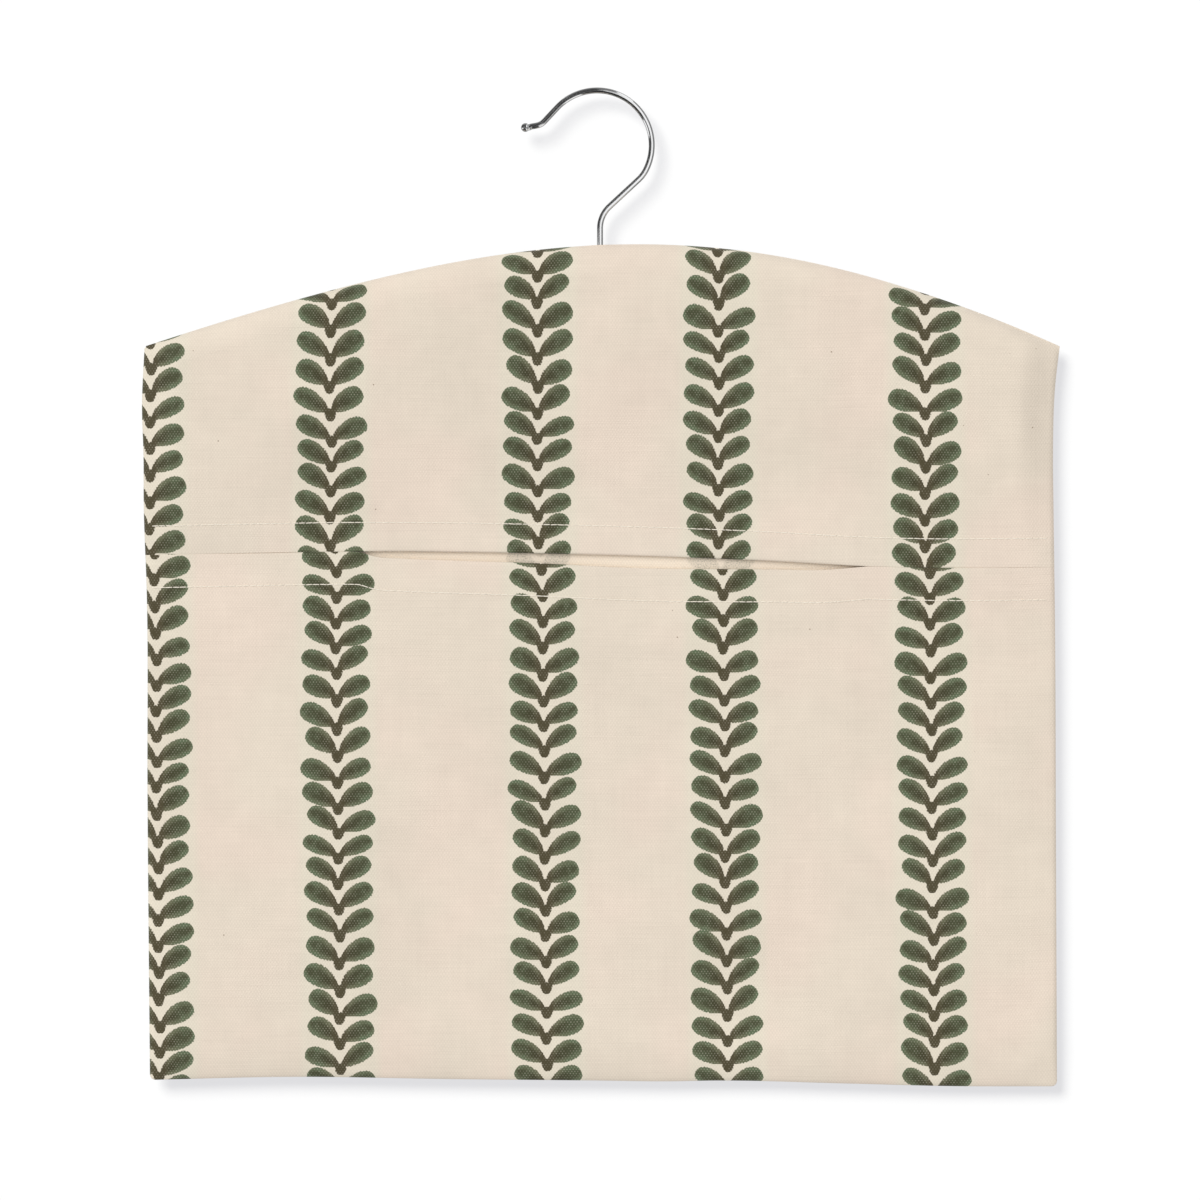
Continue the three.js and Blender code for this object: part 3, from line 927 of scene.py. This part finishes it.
def half_columns():
    """Places from a side seam to the middle: its roll, shares of the outer strip, fixed places."""
    borders = HALF_WIDTH * np.arange(STRIPS - 1, -1, -1) / STRIPS
    shares = spread(EDGE_ROLL, HALF_WIDTH - borders[0], CELL)
    fixed = []
    for far, near in zip(borders[:-1], borders[1:]):
        fixed.extend((far + SLIVER, far, far - SLIVER))
        fixed.extend(far + (near - far) * spread(near, far, CELL))
    return roll_steps(EDGE_ROLL), shares, np.array((*fixed, SLIVER, 0.0))


def panel_grid(panel, low_steps, high_steps, cell):
    """Grid of places over a panel: steps beside its low and high edge, even rows between them."""
    rim, shares, fixed = half_columns()
    middle = spread(0, panel.high(0.0) - panel.low(0.0), cell)
    x = np.zeros((1, 2 * (len(rim) + len(shares) + len(fixed)) - 1))
    z = np.zeros((len(low_steps) + len(middle) + len(high_steps), 1))
    z = z + (panel.low(x) + panel.high(x)) / 2
    # Columns follow the side edges and rows the low and high ones, so the grid settles in a few rounds
    for _ in range(GRID_ROUNDS):
        halves = []
        for side, edge in ((-1, left_edge(z[:, :1])), (1, right_edge(z[:, -1:]))):
            turned = abs(edge) - rim[-1]
            places = (abs(edge) - rim, turned + (fixed[1] - turned) * shares, fixed + 0 * edge)
            halves.append(side * np.concatenate(places, axis=1))
        x = np.concatenate((halves[0], halves[1][:, -2::-1]), axis=1)
        low, high = panel.low(x[0])[None], panel.high(x[0])[None]
        start, end = low + low_steps[-1], high - high_steps[-1]
        z = np.concatenate(
            (low + low_steps[:, None], start + (end - start) * middle[:, None],
             high - high_steps[::-1, None]), axis=0)
    return x, z


def lip_steps(sizes, extra):
    """Rows beside a lip: its round fold, then close rows along the stitching and the hem's edge."""
    half = HEM_LAYERS * sizes.thickness / 2
    stitches = extra + sizes.stitch_line + STITCH_ROWS
    hem_edge = extra + sizes.hem_depth + HEM_EDGE_ROWS
    return np.concatenate((roll_steps(half), LIP_ROWS, stitches, hem_edge))


def faces_of(index, flip):
    """Four-cornered faces between the points of a grid."""
    quads = np.stack(
        (index[:-1, :-1], index[:-1, 1:], index[1:, 1:], index[1:, :-1]), axis=-1).reshape(-1, 4)
    return quads[:, ::-1] if flip else quads


def cloth_object(name, outer, inner, flat, hem, materials, flip):
    """A closed sheet of cloth: a printed face, a plain reverse and a rim, with flat places as UVs."""
    rows, columns = outer.shape[:2]
    front = np.arange(rows * columns).reshape(rows, columns)
    back = front + rows * columns
    ring = np.concatenate((front[0], front[1:, -1], front[-1, -2::-1], front[-2:0:-1, 0]))
    following = np.roll(ring, -1)
    rim = np.stack((following, ring, ring + rows * columns, following + rows * columns), axis=-1)
    rim = rim[:, ::-1] if flip else rim
    quads = np.concatenate((faces_of(front, flip), faces_of(back, not flip), rim))
    points = np.concatenate((outer.reshape(-1, 3), inner.reshape(-1, 3))) * MM
    piece = mesh_object(name, points.tolist(), quads.tolist(), materials)
    mesh = piece.data
    slots = np.zeros(len(quads), np.int32)
    cells = (rows - 1) * (columns - 1)
    slots[cells:2 * cells] = np.where(hem[:-1, :-1].reshape(-1), 0, 1)
    mesh.polygons.foreach_set("material_index", slots)
    layer = mesh.uv_layers.new(name=CLOTH_MAP)
    corners = np.empty(len(mesh.loops), np.int32)
    mesh.loops.foreach_get("vertex_index", corners)
    places = np.concatenate((flat.reshape(-1, 2), flat.reshape(-1, 2))) / UV_SPAN
    layer.data.foreach_set("uv", places[corners].astype(np.float32).reshape(-1))
    mesh.update()
    return piece


def panel_layers(panel, x, z, sizes, side):
    """Outer and inner face of a panel, and where its inner face is turned-in hem."""
    depth = panel.depth(x, z)
    thick = np.full(x.shape, sizes.thickness)
    hem = np.zeros(x.shape, bool)
    lip_round = np.zeros(x.shape)
    if panel.lip is not None:
        distance = abs(z - panel.lip(x))
        edge = from_side(x, z)
        inside = ease(edge - sizes.allowance, HEM_SIDE_STEP)
        hem = (distance < sizes.hem_depth + panel.hem_extra) & (edge > sizes.allowance)
        fold = 1 - ease(distance - sizes.hem_depth - panel.hem_extra + FOLD_EDGE, FOLD_STEP)
        thick = thick * (1 + (HEM_LAYERS - 1) * fold * inside)
        turned = at_least(LIP_ROUND_CLOSED, ease(mouth_share(x), LIP_ROUND_OPEN))
        radius = HEM_LAYERS * sizes.thickness / 2 * turned
        lip_round = (1 - roll(distance, radius)) * thick / 2 * turned
    shrink = 1 - INNER_INSET * sizes.thickness / HALF_WIDTH
    least = panel.edge - (0 if panel.cling is None else BACK_CLING * panel.cling(x, z))
    outer = np.stack((x, side * (depth - lip_round), z), axis=-1)
    inner = np.stack((x * shrink, side * np.maximum(depth - thick + lip_round, least), z), axis=-1)
    return outer, inner, hem


# Each panel's print: its shift across, its lean, its stretch, and how far along the flat cloth it lies
UPPER_PRINT = (-25.0, 0.0, 10.5 / 10.68, 900.0)
LOWER_PRINT = (-23.2, 0.010, 10.5 / 10.48, 1900.0)
BACK_PRINT = (-24.0, 0.004, 1.0, 2900.0)
SEAM_PRINT = (0.0, 3900.0)


def flat_places(outer, shift, lean, stretch, far):
    """Places on the flat cloth that a panel was cut from, measured along its face."""
    x, y, z = np.moveaxis(outer, -1, 0)
    steps = np.hypot(np.diff(y, axis=0), np.diff(z, axis=0))
    up = z[:1] + np.concatenate((np.zeros_like(z[:1]), np.cumsum(steps, axis=0)))
    across = x - shift + lean * (z - LIP_Z)
    return np.stack((across, up * stretch + far), axis=-1)


# Strips of the pocket front, from left to right

BORDER = 1e-6
OUTER_SHARE = 0.999


def pocket_strips():
    """Strips of the pocket front from left to right: their number, side and shares of the half width."""
    for strip in range(1, 2 * STRIPS + 1):
        side = -1 if strip <= STRIPS else 1
        near = (STRIPS - strip if side < 0 else strip - STRIPS - 1) / STRIPS
        yield strip, side, near, near + 1 / STRIPS


def in_strip(x, side, near, far):
    """Which places lie in a strip, its borders among them."""
    out = side * x / HALF_WIDTH
    return (out > near - BORDER) & ((out < far + BORDER) | (far > OUTER_SHARE))


def lip_blend(piece, side, near, far):
    """Bakes a strip's placement into its points."""
    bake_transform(piece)


class PegBagOperator:
    """What the operators share."""

    bl_options = {"REGISTER", "UNDO"}

    def cloth(self, context):
        return millimetres(context.scene.peg_bag_cloth)

    def cloth_materials(self, context):
        """Printed side and reverse of the cotton, made once for all panels."""
        names = ("printed cotton", "cotton reverse")
        if names[0] not in bpy.data.materials:
            sizes = millimetres(context.scene.peg_bag_print)
            printed_cotton(context.scene.peg_bag_finish, sizes)
            cotton_reverse(context.scene.peg_bag_finish, sizes)
        return [bpy.data.materials[name] for name in names]


class PEGBAG_OT_upper_front(PegBagOperator, bpy.types.Operator):
    """Make the upper front of printed cotton, from the top seam to the mouth"""

    bl_idname = "pegbag.upper_front"
    bl_label = "Upper front"

    def execute(self, context):
        sizes = self.cloth(context)
        panel = upper_panel()
        lip_rows = lip_steps(sizes, panel.hem_extra)
        x, z = panel_grid(panel, lip_rows, roll_steps(TOP_ROUND), CELL)
        outer, inner, hem = panel_layers(panel, x, z, sizes, -1)
        flat = flat_places(outer, *UPPER_PRINT)
        piece = cloth_object(
            "upper_front", outer, inner, flat, hem, self.cloth_materials(context), False)
        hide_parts("front_upper_panel")
        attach(piece, "bag")
        return {"FINISHED"}


class PEGBAG_OT_pocket_front(PegBagOperator, bpy.types.Operator):
    """Make the pocket front of printed cotton, in strips"""

    bl_idname = "pegbag.pocket_front"
    bl_label = "Pocket front"

    def execute(self, context):
        sizes = self.cloth(context)
        panel = lower_panel(sizes)
        lip_rows = lip_steps(sizes, panel.hem_extra)
        x, z = panel_grid(panel, roll_steps(BOTTOM_ROLL), lip_rows, CELL)
        outer, inner, hem = panel_layers(panel, x, z, sizes, -1)
        flat = flat_places(outer, *LOWER_PRINT)
        for strip, *place in pocket_strips():
            part = in_strip(x[0], *place)
            piece = cloth_object(
                f"pocket_front_{strip}", outer[:, part], inner[:, part], flat[:, part],
                hem[:, part], self.cloth_materials(context), False)
            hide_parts("front_lower_panel")
            lip_blend(piece, *place)
        return {"FINISHED"}


class PEGBAG_OT_back(PegBagOperator, bpy.types.Operator):
    """Make the back of printed cotton"""

    bl_idname = "pegbag.back"
    bl_label = "Back"

    def execute(self, context):
        sizes = self.cloth(context)
        panel = back_panel()
        x, z = panel_grid(panel, roll_steps(BOTTOM_ROLL), roll_steps(TOP_ROUND), BACK_CELL)
        outer, inner, hem = panel_layers(panel, x, z, sizes, 1)
        middle = np.array((0, 0, (APEX_Z + BOTTOM_Z) / 2))
        inset = np.array((BACK_INSET / HALF_WIDTH, 0, 2 * BACK_INSET / (APEX_Z - BOTTOM_Z)))
        outer, inner = (face - (face - middle) * inset for face in (outer, inner))
        flat = flat_places(outer, *BACK_PRINT)
        piece = cloth_object("back", outer, inner, flat, hem, self.cloth_materials(context), True)
        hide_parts("back_panel")
        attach(piece, "bag")
        return {"FINISHED"}


# Tubes and stitches

STITCH_SIDES = 7
STITCH_END = 3.0
STITCH_DRIFT = 0.12
STITCH_SLANT = 0.08
STITCH_LENGTHS = (0.92, 1.05)
STITCH_SHARES = np.array((-1.0, -0.72, -0.3, 0.3, 0.72, 1.0))
STITCH_LIFT = np.array((-0.35, 0.05, 0.22, 0.22, 0.05, -0.35))
STITCH_THICK = np.array((0.8, 0.95, 1.0, 1.0, 0.95, 0.8))


def tube(path, radii, sides):
    """Points and faces of a closed tube along a path."""
    path = np.asarray(path, float)
    ahead = np.gradient(path, axis=0)
    ahead /= np.linalg.norm(ahead, axis=1)[:, None]
    across = np.cross(ahead, (0.0, 1.0, 0.0))
    across /= np.linalg.norm(across, axis=1)[:, None]
    over = np.cross(across, ahead)
    turn = np.linspace(0, TURN, sides, endpoint=False)
    ring = np.cos(turn)[None, :, None] * across[:, None] + np.sin(turn)[None, :, None] * over[:, None]
    points = (path[:, None] + ring * np.asarray(radii)[:, None, None]).reshape(-1, 3)
    index = np.arange(len(points)).reshape(len(path), sides)
    faces = faces_of(np.concatenate((index, index[:, :1]), axis=1), False).tolist()
    return points, [*faces, index[0, ::-1].tolist(), index[-1].tolist()]


def tubes_object(name, tubes, material):
    """One object from many tubes."""
    points, faces, start = [], [], 0
    for tube_points, tube_faces in tubes:
        points.append(tube_points)
        faces.extend([start + corner for corner in face] for face in tube_faces)
        start += len(tube_points)
    return mesh_object(name, (np.concatenate(points) * MM).tolist(), faces, [material])


def stitch_row(panel, sizes, sign, seed):
    """A row of stitches along a lip: each one rises from the cloth, lies on it and dips back in."""
    draw = np.random.default_rng(seed)
    reach = HALF_WIDTH - STITCH_END
    row = []
    for n in range(int(2 * reach / sizes.stitch_pitch)):
        middle = -reach + (n + 0.5) * sizes.stitch_pitch + draw.uniform(-STITCH_DRIFT, STITCH_DRIFT)
        half = sizes.stitch_length / 2 * draw.uniform(*STITCH_LENGTHS)
        x = middle + half * STITCH_SHARES
        slant = draw.uniform(-STITCH_SLANT, STITCH_SLANT) * STITCH_SHARES
        z = panel.lip(x) + sign * (sizes.stitch_line + panel.hem_extra) + slant
        y = -(panel.depth(x, z) + sizes.thread * STITCH_LIFT)
        row.append(tube(np.stack((x, y, z), axis=-1), sizes.thread / 2 * STITCH_THICK, STITCH_SIDES))
    return row


class PEGBAG_OT_hem_stitching(PegBagOperator, bpy.types.Operator):
    """Sew both hems with rows of cream stitches"""

    bl_idname = "pegbag.hem_stitching"
    bl_label = "Hem stitching"

    def execute(self, context):
        sizes = self.cloth(context)
        thread = sewing_thread(context.scene.peg_bag_finish)
        upper = stitch_row(upper_panel(), sizes, 1, seed=5)
        piece = tubes_object("upper_stitches", upper, thread)
        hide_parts("upper_hem_stitching")
        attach(piece, "bag")
        lower = stitch_row(lower_panel(sizes), sizes, -1, seed=7)
        for strip, *place in pocket_strips():
            row = [stitch for stitch in lower if in_strip(stitch[0][:, 0].mean(), *place)]
            piece = tubes_object(f"lower_stitches_{strip}", row, thread)
            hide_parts("lower_hem_stitching")
            lip_blend(piece, *place)
        return {"FINISHED"}


# Seams: how far inside the edge they lie, the step along them and where each run starts and ends

SEAM_INSET = 0.8
SEAM_STEP = 4.0
SIDE_SEAM_FOOT = 3.0
SIDE_SEAM_HEAD = 44.0
BOTTOM_SEAM_START = 2.0
SEAM_END = 1.0
HOOK_CLEARANCE = 4.5
TOP_SEAM_WIDTH = 3.2

# Across a seam's turned-in edges: shares of their width, the border's curls and the rounding of its rim
SEAM_SHARES = np.array((0.0, 0.12, 0.35, 0.65, 0.88, 0.97, 1.0))
SEAM_CURLS = ((0.35, 0.9, 0.0), (0.25, 0.37, 1.0))
SEAM_ROUND = 8
SEAM_FULL = 0.92
SEAM_RIM = 0.02


def seam_ribbon(name, edge, inward, sizes, materials):
    """Turned-in edges of two panels inside a seam: a doubled strip with a wavy, overlocked border."""
    run = np.linspace(0, len(edge) - 1, len(edge))
    curl = sum(height * np.sin(run * rate + phase) for height, rate, phase in SEAM_CURLS)
    middle = edge[:, None] + inward[:, None] * SEAM_SHARES[None, :, None]
    bend = curl[:, None] * SEAM_SHARES[None] ** 2
    rounded = np.sqrt(np.clip(1 - SEAM_SHARES ** SEAM_ROUND, 0.0, 1))
    half = sizes.thickness * rounded * SEAM_FULL + SEAM_RIM
    outer = np.stack((middle[..., 0], bend - half[None], middle[..., 1]), axis=-1)
    inner = np.stack((middle[..., 0], bend + half[None], middle[..., 1]), axis=-1)
    hem = np.zeros(outer.shape[:2], bool)
    return cloth_object(name, outer, inner, middle + np.array(SEAM_PRINT), hem, materials, False)


class PEGBAG_OT_seams(PegBagOperator, bpy.types.Operator):
    """Make the turned-in edges inside the seams"""

    bl_idname = "pegbag.seams"
    bl_label = "Seams"

    def execute(self, context):
        sizes = self.cloth(context)
        _, reverse = self.cloth_materials(context)
        end = HALF_WIDTH - sizes.allowance - SEAM_END
        z = np.arange(bottom_edge(0.0) + SIDE_SEAM_FOOT, APEX_Z - SIDE_SEAM_HEAD, SEAM_STEP)
        x = np.arange(-HALF_WIDTH + sizes.allowance + BOTTOM_SEAM_START, end, SEAM_STEP)
        arm = np.arange(HOOK_CLEARANCE, end, SEAM_STEP)
        width = sizes.allowance - SEAM_INSET
        runs = {
            "left_side_seam": ((left_edge(z) + SEAM_INSET, z), (width, 0)),
            "right_side_seam": ((right_edge(z) - SEAM_INSET, z), (-width, 0)),
            "bottom_seam": ((x, bottom_edge(x) + SEAM_INSET), (0, width)),
            "top_seam_left": ((-arm, top_edge(-arm) - SEAM_INSET), (0, -TOP_SEAM_WIDTH)),
            "top_seam_right": ((arm, top_edge(arm) - SEAM_INSET), (0, -TOP_SEAM_WIDTH)),
        }
        for node, (edge, inward) in runs.items():
            edge = np.stack(edge, axis=-1)
            inward = np.broadcast_to(np.array(inward, float), edge.shape)
            piece = seam_ribbon(f"{node}_edge", edge, inward, sizes, [reverse, reverse])
            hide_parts(node)
            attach(piece, "bag")
        return {"FINISHED"}


# Hook and hanger

CROWN_TO_TIP = math.radians(47)
CROWN_TO_ELBOW = math.radians(115)
CROWN_LIFT = 0.25
TIP_SLOPE = math.radians(9.7)
SHANK_SLOPE = math.radians(42.8)
WIRE_STEP = 0.7
WIRE_SIDES = 28
SAME_POINT = 1e-4

# The ball at the tip: its steps, where it meets the wire and the least square of its radius
BALL_STEPS = 14
BALL_REACH = 0.94
WIRE_FROM = 1.05
BALL_POINT = 0.02


def heading(angle):
    """Unit step to the right, turned up by an angle."""
    return np.array((math.cos(angle), math.sin(angle)))


def arc(centre, radius, start, end):
    """Points on an arc in the plane of the hook, by angles from straight up."""
    angle = np.linspace(start, end, max(3, int(abs(end - start) * radius / WIRE_STEP)))
    return np.stack((centre[0] + radius * np.sin(angle), centre[1] + radius * np.cos(angle)), axis=-1)


def bend_corner(before, corner, after, radius):
    """Points of a corner rounded to a radius."""
    inward = (before - corner) / np.linalg.norm(before - corner)
    outward = (after - corner) / np.linalg.norm(after - corner)
    half = math.acos(inward @ outward) / 2
    centre = corner + (inward + outward) / np.linalg.norm(inward + outward) * radius / math.sin(half)
    first = corner + inward * radius / math.tan(half) - centre
    last = corner + outward * radius / math.tan(half) - centre
    turn = math.atan2(first[0] * last[1] - first[1] * last[0], first @ last)
    angles = np.linspace(0, turn, max(4, int(abs(turn) * radius / WIRE_STEP)))
    return np.stack(
        (centre[0] + first[0] * np.cos(angles) - first[1] * np.sin(angles),
         centre[1] + first[0] * np.sin(angles) + first[1] * np.cos(angles)), axis=-1)


def straight(start, end):
    """Points between two places on a line, without the ends."""
    count = max(2, int(np.linalg.norm(end - start) / WIRE_STEP))
    return start + (end - start) * np.linspace(0, 1, count, endpoint=False)[1:, None]


def hook_path(sizes):
    """Middle line of the hook's wire, from the tip to its threaded end."""
    centre = np.array((sizes.crown_side, sizes.wire / 2 + CROWN_LIFT - sizes.radius))
    crown = arc(centre, sizes.radius, -CROWN_TO_TIP, CROWN_TO_ELBOW)
    tip_corner = crown[0] - sizes.tip_run * heading(CROWN_TO_TIP)
    tip = tip_corner - sizes.tip_flat * heading(TIP_SLOPE)
    shank_corner = np.array((0.0, sizes.shank_top))
    end = np.array((0.0, WIRE_END_Z))
    sides = np.stack((heading(-CROWN_TO_ELBOW), -heading(SHANK_SLOPE)), axis=1)
    elbow = crown[-1] + np.linalg.solve(sides, shank_corner - crown[-1])[0] * sides[:, 0]
    curves = (
        tip[None],
        bend_corner(tip, tip_corner, crown[0], sizes.tip_bend),
        crown,
        bend_corner(crown[-1], elbow, shank_corner, sizes.elbow_bend),
        bend_corner(elbow, shank_corner, end, sizes.shank_bend),
        end[None],
    )
    line = [curves[0]]
    for before, after in zip(curves[:-1], curves[1:]):
        line.extend((straight(before[-1], after[0]), after))
    return np.concatenate(line), tip


class PEGBAG_OT_hook(PegBagOperator, bpy.types.Operator):
    """Bend the chromed wire hook, with the ball at its tip"""

    bl_idname = "pegbag.hook"
    bl_label = "Hook"

    def execute(self, context):
        sizes = millimetres(context.scene.peg_bag_hook)
        path, tip = hook_path(sizes)
        apart = np.linalg.norm(np.diff(path, axis=0), axis=1) > SAME_POINT
        path = path[np.concatenate(([True], apart))]
        ball = sizes.tip_ball / 2
        turn = np.linspace(np.pi, 0.0, BALL_STEPS)
        ball_x = tip[0] + ball * np.cos(turn[turn > math.acos(BALL_REACH)])
        ball_line = np.stack((ball_x, np.full(ball_x.shape, tip[1])), axis=-1)
        wire = path[np.linalg.norm(path - tip, axis=1) > ball * WIRE_FROM]
        line = np.concatenate((ball_line, wire))
        from_tip = ball_x - tip[0]
        ball_radii = np.sqrt(np.maximum(ball ** 2 - from_tip ** 2, BALL_POINT))
        ball_radii = np.where(from_tip > 0, np.maximum(ball_radii, sizes.wire / 2), ball_radii)
        radii = np.concatenate((ball_radii, np.full(len(wire), sizes.wire / 2)))
        centre = np.stack((line[:, 0], np.zeros(len(line)), line[:, 1]), axis=-1)
        chrome = chrome_plate(context.scene.peg_bag_finish)
        piece = tubes_object("hook_wire", [tube(centre, radii, WIRE_SIDES)], chrome)
        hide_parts("hook")
        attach(piece, "hook")
        return {"FINISHED"}


class PEGBAG_OT_hanger(PegBagOperator, bpy.types.Operator):
    """Finish the wooden hanger, the nut and the washer"""

    bl_idname = "pegbag.hanger"
    bl_label = "Hanger and fastening"

    def execute(self, context):
        finish = context.scene.peg_bag_finish
        zinc = zinc_plate(finish)
        finishes = {"hanger_bar": beech_wood(finish), "hook_nut": zinc, "hook_washer": zinc}
        for node, material in finishes.items():
            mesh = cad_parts[node].data
            mesh.materials.clear()
            mesh.materials.append(material)
        return {"FINISHED"}


# Stage: each card has a brightness and four corners, each lamp a direction and a spread in degrees

SENSOR = 36.0
CARDS = {
    "card_near": (
        0.04, ((-0.35, -0.07, -0.03), (0.002, -0.07, -0.03), (0.002, -0.07, 0.2), (-0.35, -0.07, 0.2))),
    "card_inside": (
        0.04,
        ((-0.014, -0.03, -0.042), (0.005, -0.03, -0.036), (0.012, -0.03, -0.01), (-0.014, -0.03, -0.01))),
    "card_left": (
        0.03, ((-0.3, -1.6, -0.047), (-0.3, 0.3, -0.047), (-0.3, 0.3, 0.6), (-0.3, -1.6, 0.6))),
    "card_right": (0.22, ((0.4, -0.3, -0.5), (0.4, 0.2, -0.5), (0.4, 0.2, 0.5), (0.4, -0.3, 0.5))),
    "card_top": (0.2, ((-0.6, -1.2, 0.4), (0.15, -1.2, 0.4), (0.15, 0.25, 0.4), (-0.6, 0.25, 0.4))),
    "card_behind": (0.3, ((-0.3, 0.12, -0.3), (0.3, 0.12, -0.3), (0.3, 0.12, 0.3), (-0.3, 0.12, 0.3))),
    "card_under": (0.03, ((-1, -1.8, -0.5), (0.15, -1.8, -0.5), (0.15, 0.3, -0.5), (-1, 0.3, -0.5))),
}
KEY_FROM = (-0.52, -0.74, 0.43)
KEY_SPREAD = 42
BACK_FROM = (0.35, 0.85, 0.4)
BACK_SPREAD = 30
PAPER_FROM = (-0.42, -0.74, 0.5)
PAPER_SPREAD = 29
PAPER_TINT = (1.0, 1.0, 0.93)
PAPER_WHITE = 1.01
PAPER_TURN = 0.0035
PAPER_HALF = 0.6
PAPER_GAP = 0.9


def sun(name, strength, towards_light, spread_degrees):
    lamp = bpy.data.lights.new(name, "SUN")
    lamp.energy = strength
    lamp.angle = math.radians(spread_degrees)
    holder = placed(name, lamp)
    x, y, z = towards_light
    holder.rotation_euler = (math.acos(z / math.hypot(x, y, z)), 0, math.atan2(x, -y))
    return holder


def stage_card(name, corners, material, unseen_by):
    """One flat face of the stage, left out of some kinds of ray."""
    card = mesh_object(name, corners, [(0, 1, 2, 3)], [material], smooth=False)
    for ray in unseen_by:
        setattr(card, f"visible_{ray}", False)
    return card


class PEGBAG_OT_stage(PegBagOperator, bpy.types.Operator):
    """Set the camera, the light and the white backdrop"""

    bl_idname = "pegbag.stage"
    bl_label = "Stage"

    def execute(self, context):
        scene = context.scene
        settings = scene.peg_bag_stage
        scene.view_settings.view_transform = "Standard"
        self.make_camera(scene, settings)
        sun("key_light", settings.key, KEY_FROM, KEY_SPREAD)
        sun("back_light", settings.back, BACK_FROM, BACK_SPREAD)
        self.make_world(scene, settings)
        self.make_backdrop(settings)
        for name, (brightness, corners) in CARDS.items():
            self.make_card(name, brightness, corners)
        return {"FINISHED"}

    def make_card(self, name, brightness, corners):
        """A dark card that only reflections see."""
        material, nodes = material_tree(name)
        dark = nodes.add("ShaderNodeEmission", None, {"Strength": brightness})
        nodes.add("ShaderNodeOutputMaterial", None, {"Surface": dark})
        stage_card(name, corners, material, ("camera", "diffuse", "shadow", "transmission"))

    def make_camera(self, scene, settings):
        camera = bpy.data.cameras.new("camera")
        camera.lens = settings.lens
        camera.sensor_width = SENSOR
        holder = placed("camera", camera)
        distance = settings.view_width * settings.lens / SENSOR
        holder.location = (0, -distance - FACE_DEPTH * MM, settings.centre_height)
        holder.rotation_euler = (math.pi / 2, 0, 0)
        scene.camera = holder

    def make_world(self, scene, settings):
        """Light from all round, which the camera and reflections see as white."""
        world = bpy.data.worlds.new("studio")
        world.use_nodes = True
        nodes = Nodes(world.node_tree)
        seen = nodes.add("ShaderNodeLightPath", output="Is Camera Ray")
        shown = seen.most(seen.beside("Is Glossy Ray")).most(seen.beside("Is Transmission Ray"))
        strength = shown * (1.0 - settings.fill) + settings.fill
        light = nodes.add("ShaderNodeBackground", None, {"Color": (1, 1, 1, 1), "Strength": strength})
        nodes.add("ShaderNodeOutputWorld", None, {"Surface": light})
        scene.world = world

    def make_backdrop(self, settings):
        """White paper close behind the bag, which shows its shadow to the right and below."""
        material, nodes = material_tree("white paper")
        facing = -PAPER_FROM[1] / math.hypot(*PAPER_FROM) / math.pi
        lit = settings.fill + (settings.key + settings.paper) * facing
        shares = [settings.paper_shadow * tint for tint in PAPER_TINT]
        paper = nodes.add("ShaderNodeBsdfDiffuse", None, {"Color": rgba(s / lit for s in shares)})
        glow = nodes.add("ShaderNodeEmission", None, {"Color": rgba(PAPER_WHITE - s for s in shares)})
        both = nodes.add("ShaderNodeAddShader", None, {0: paper, 1: glow})
        behind = nodes.add("ShaderNodeNewGeometry", output="Backfacing")
        clear = nodes.add("ShaderNodeBsdfTransparent")
        seen = nodes.add("ShaderNodeMixShader", None, {"Fac": behind, 1: both, 2: clear})
        nodes.add("ShaderNodeOutputMaterial", None, {"Surface": seen})
        back = (FACE_DEPTH + PAPER_GAP) * MM
        middle = (APEX_Z + BOTTOM_Z) / 2 * MM
        corners = [
            (sx * PAPER_HALF, back - sx * PAPER_HALF * PAPER_TURN, middle + sz * PAPER_HALF)
            for sx, sz in ((-1, -1), (1, -1), (1, 1), (-1, 1))]
        backdrop = stage_card("backdrop", corners, material, ("shadow", "diffuse", "glossy"))
        lit_by_it = bpy.data.collections.new("paper")
        lit_by_it.objects.link(backdrop)
        lamp = sun("paper_light", settings.paper, PAPER_FROM, PAPER_SPREAD)
        lamp.light_linking.receiver_collection = lit_by_it


OPERATORS = (
    PEGBAG_OT_stage,
    PEGBAG_OT_back,
    PEGBAG_OT_upper_front,
    PEGBAG_OT_pocket_front,
    PEGBAG_OT_hem_stitching,
    PEGBAG_OT_seams,
    PEGBAG_OT_hook,
    PEGBAG_OT_hanger,
)


class PEGBAG_PT_panel(bpy.types.Panel):
    """Lists the pieces of the peg bag"""

    bl_idname = "PEGBAG_PT_panel"
    bl_label = "Peg bag"
    bl_space_type = "VIEW_3D"
    bl_region_type = "UI"
    bl_category = "Peg bag"

    def draw(self, context):
        for operator in OPERATORS:
            self.layout.operator(operator.bl_idname)
        for name in SETTINGS:
            group = getattr(context.scene, name)
            box = self.layout.box()
            for field in group.__annotations__:
                box.prop(group, field)


CLASSES = (*SETTINGS.values(), *OPERATORS, PEGBAG_PT_panel)


def register():
    for item in CLASSES:
        bpy.utils.register_class(item)
    for name, group in SETTINGS.items():
        setattr(bpy.types.Scene, name, bpy.props.PointerProperty(type=group))


def unregister():
    for name in SETTINGS:
        delattr(bpy.types.Scene, name)
    for item in reversed(CLASSES):
        bpy.utils.unregister_class(item)


def main():
    register()
    for operator in OPERATORS:
        module, name = operator.bl_idname.split(".")
        getattr(getattr(bpy.ops, module), name)()


if __name__ == "__main__":
    main()
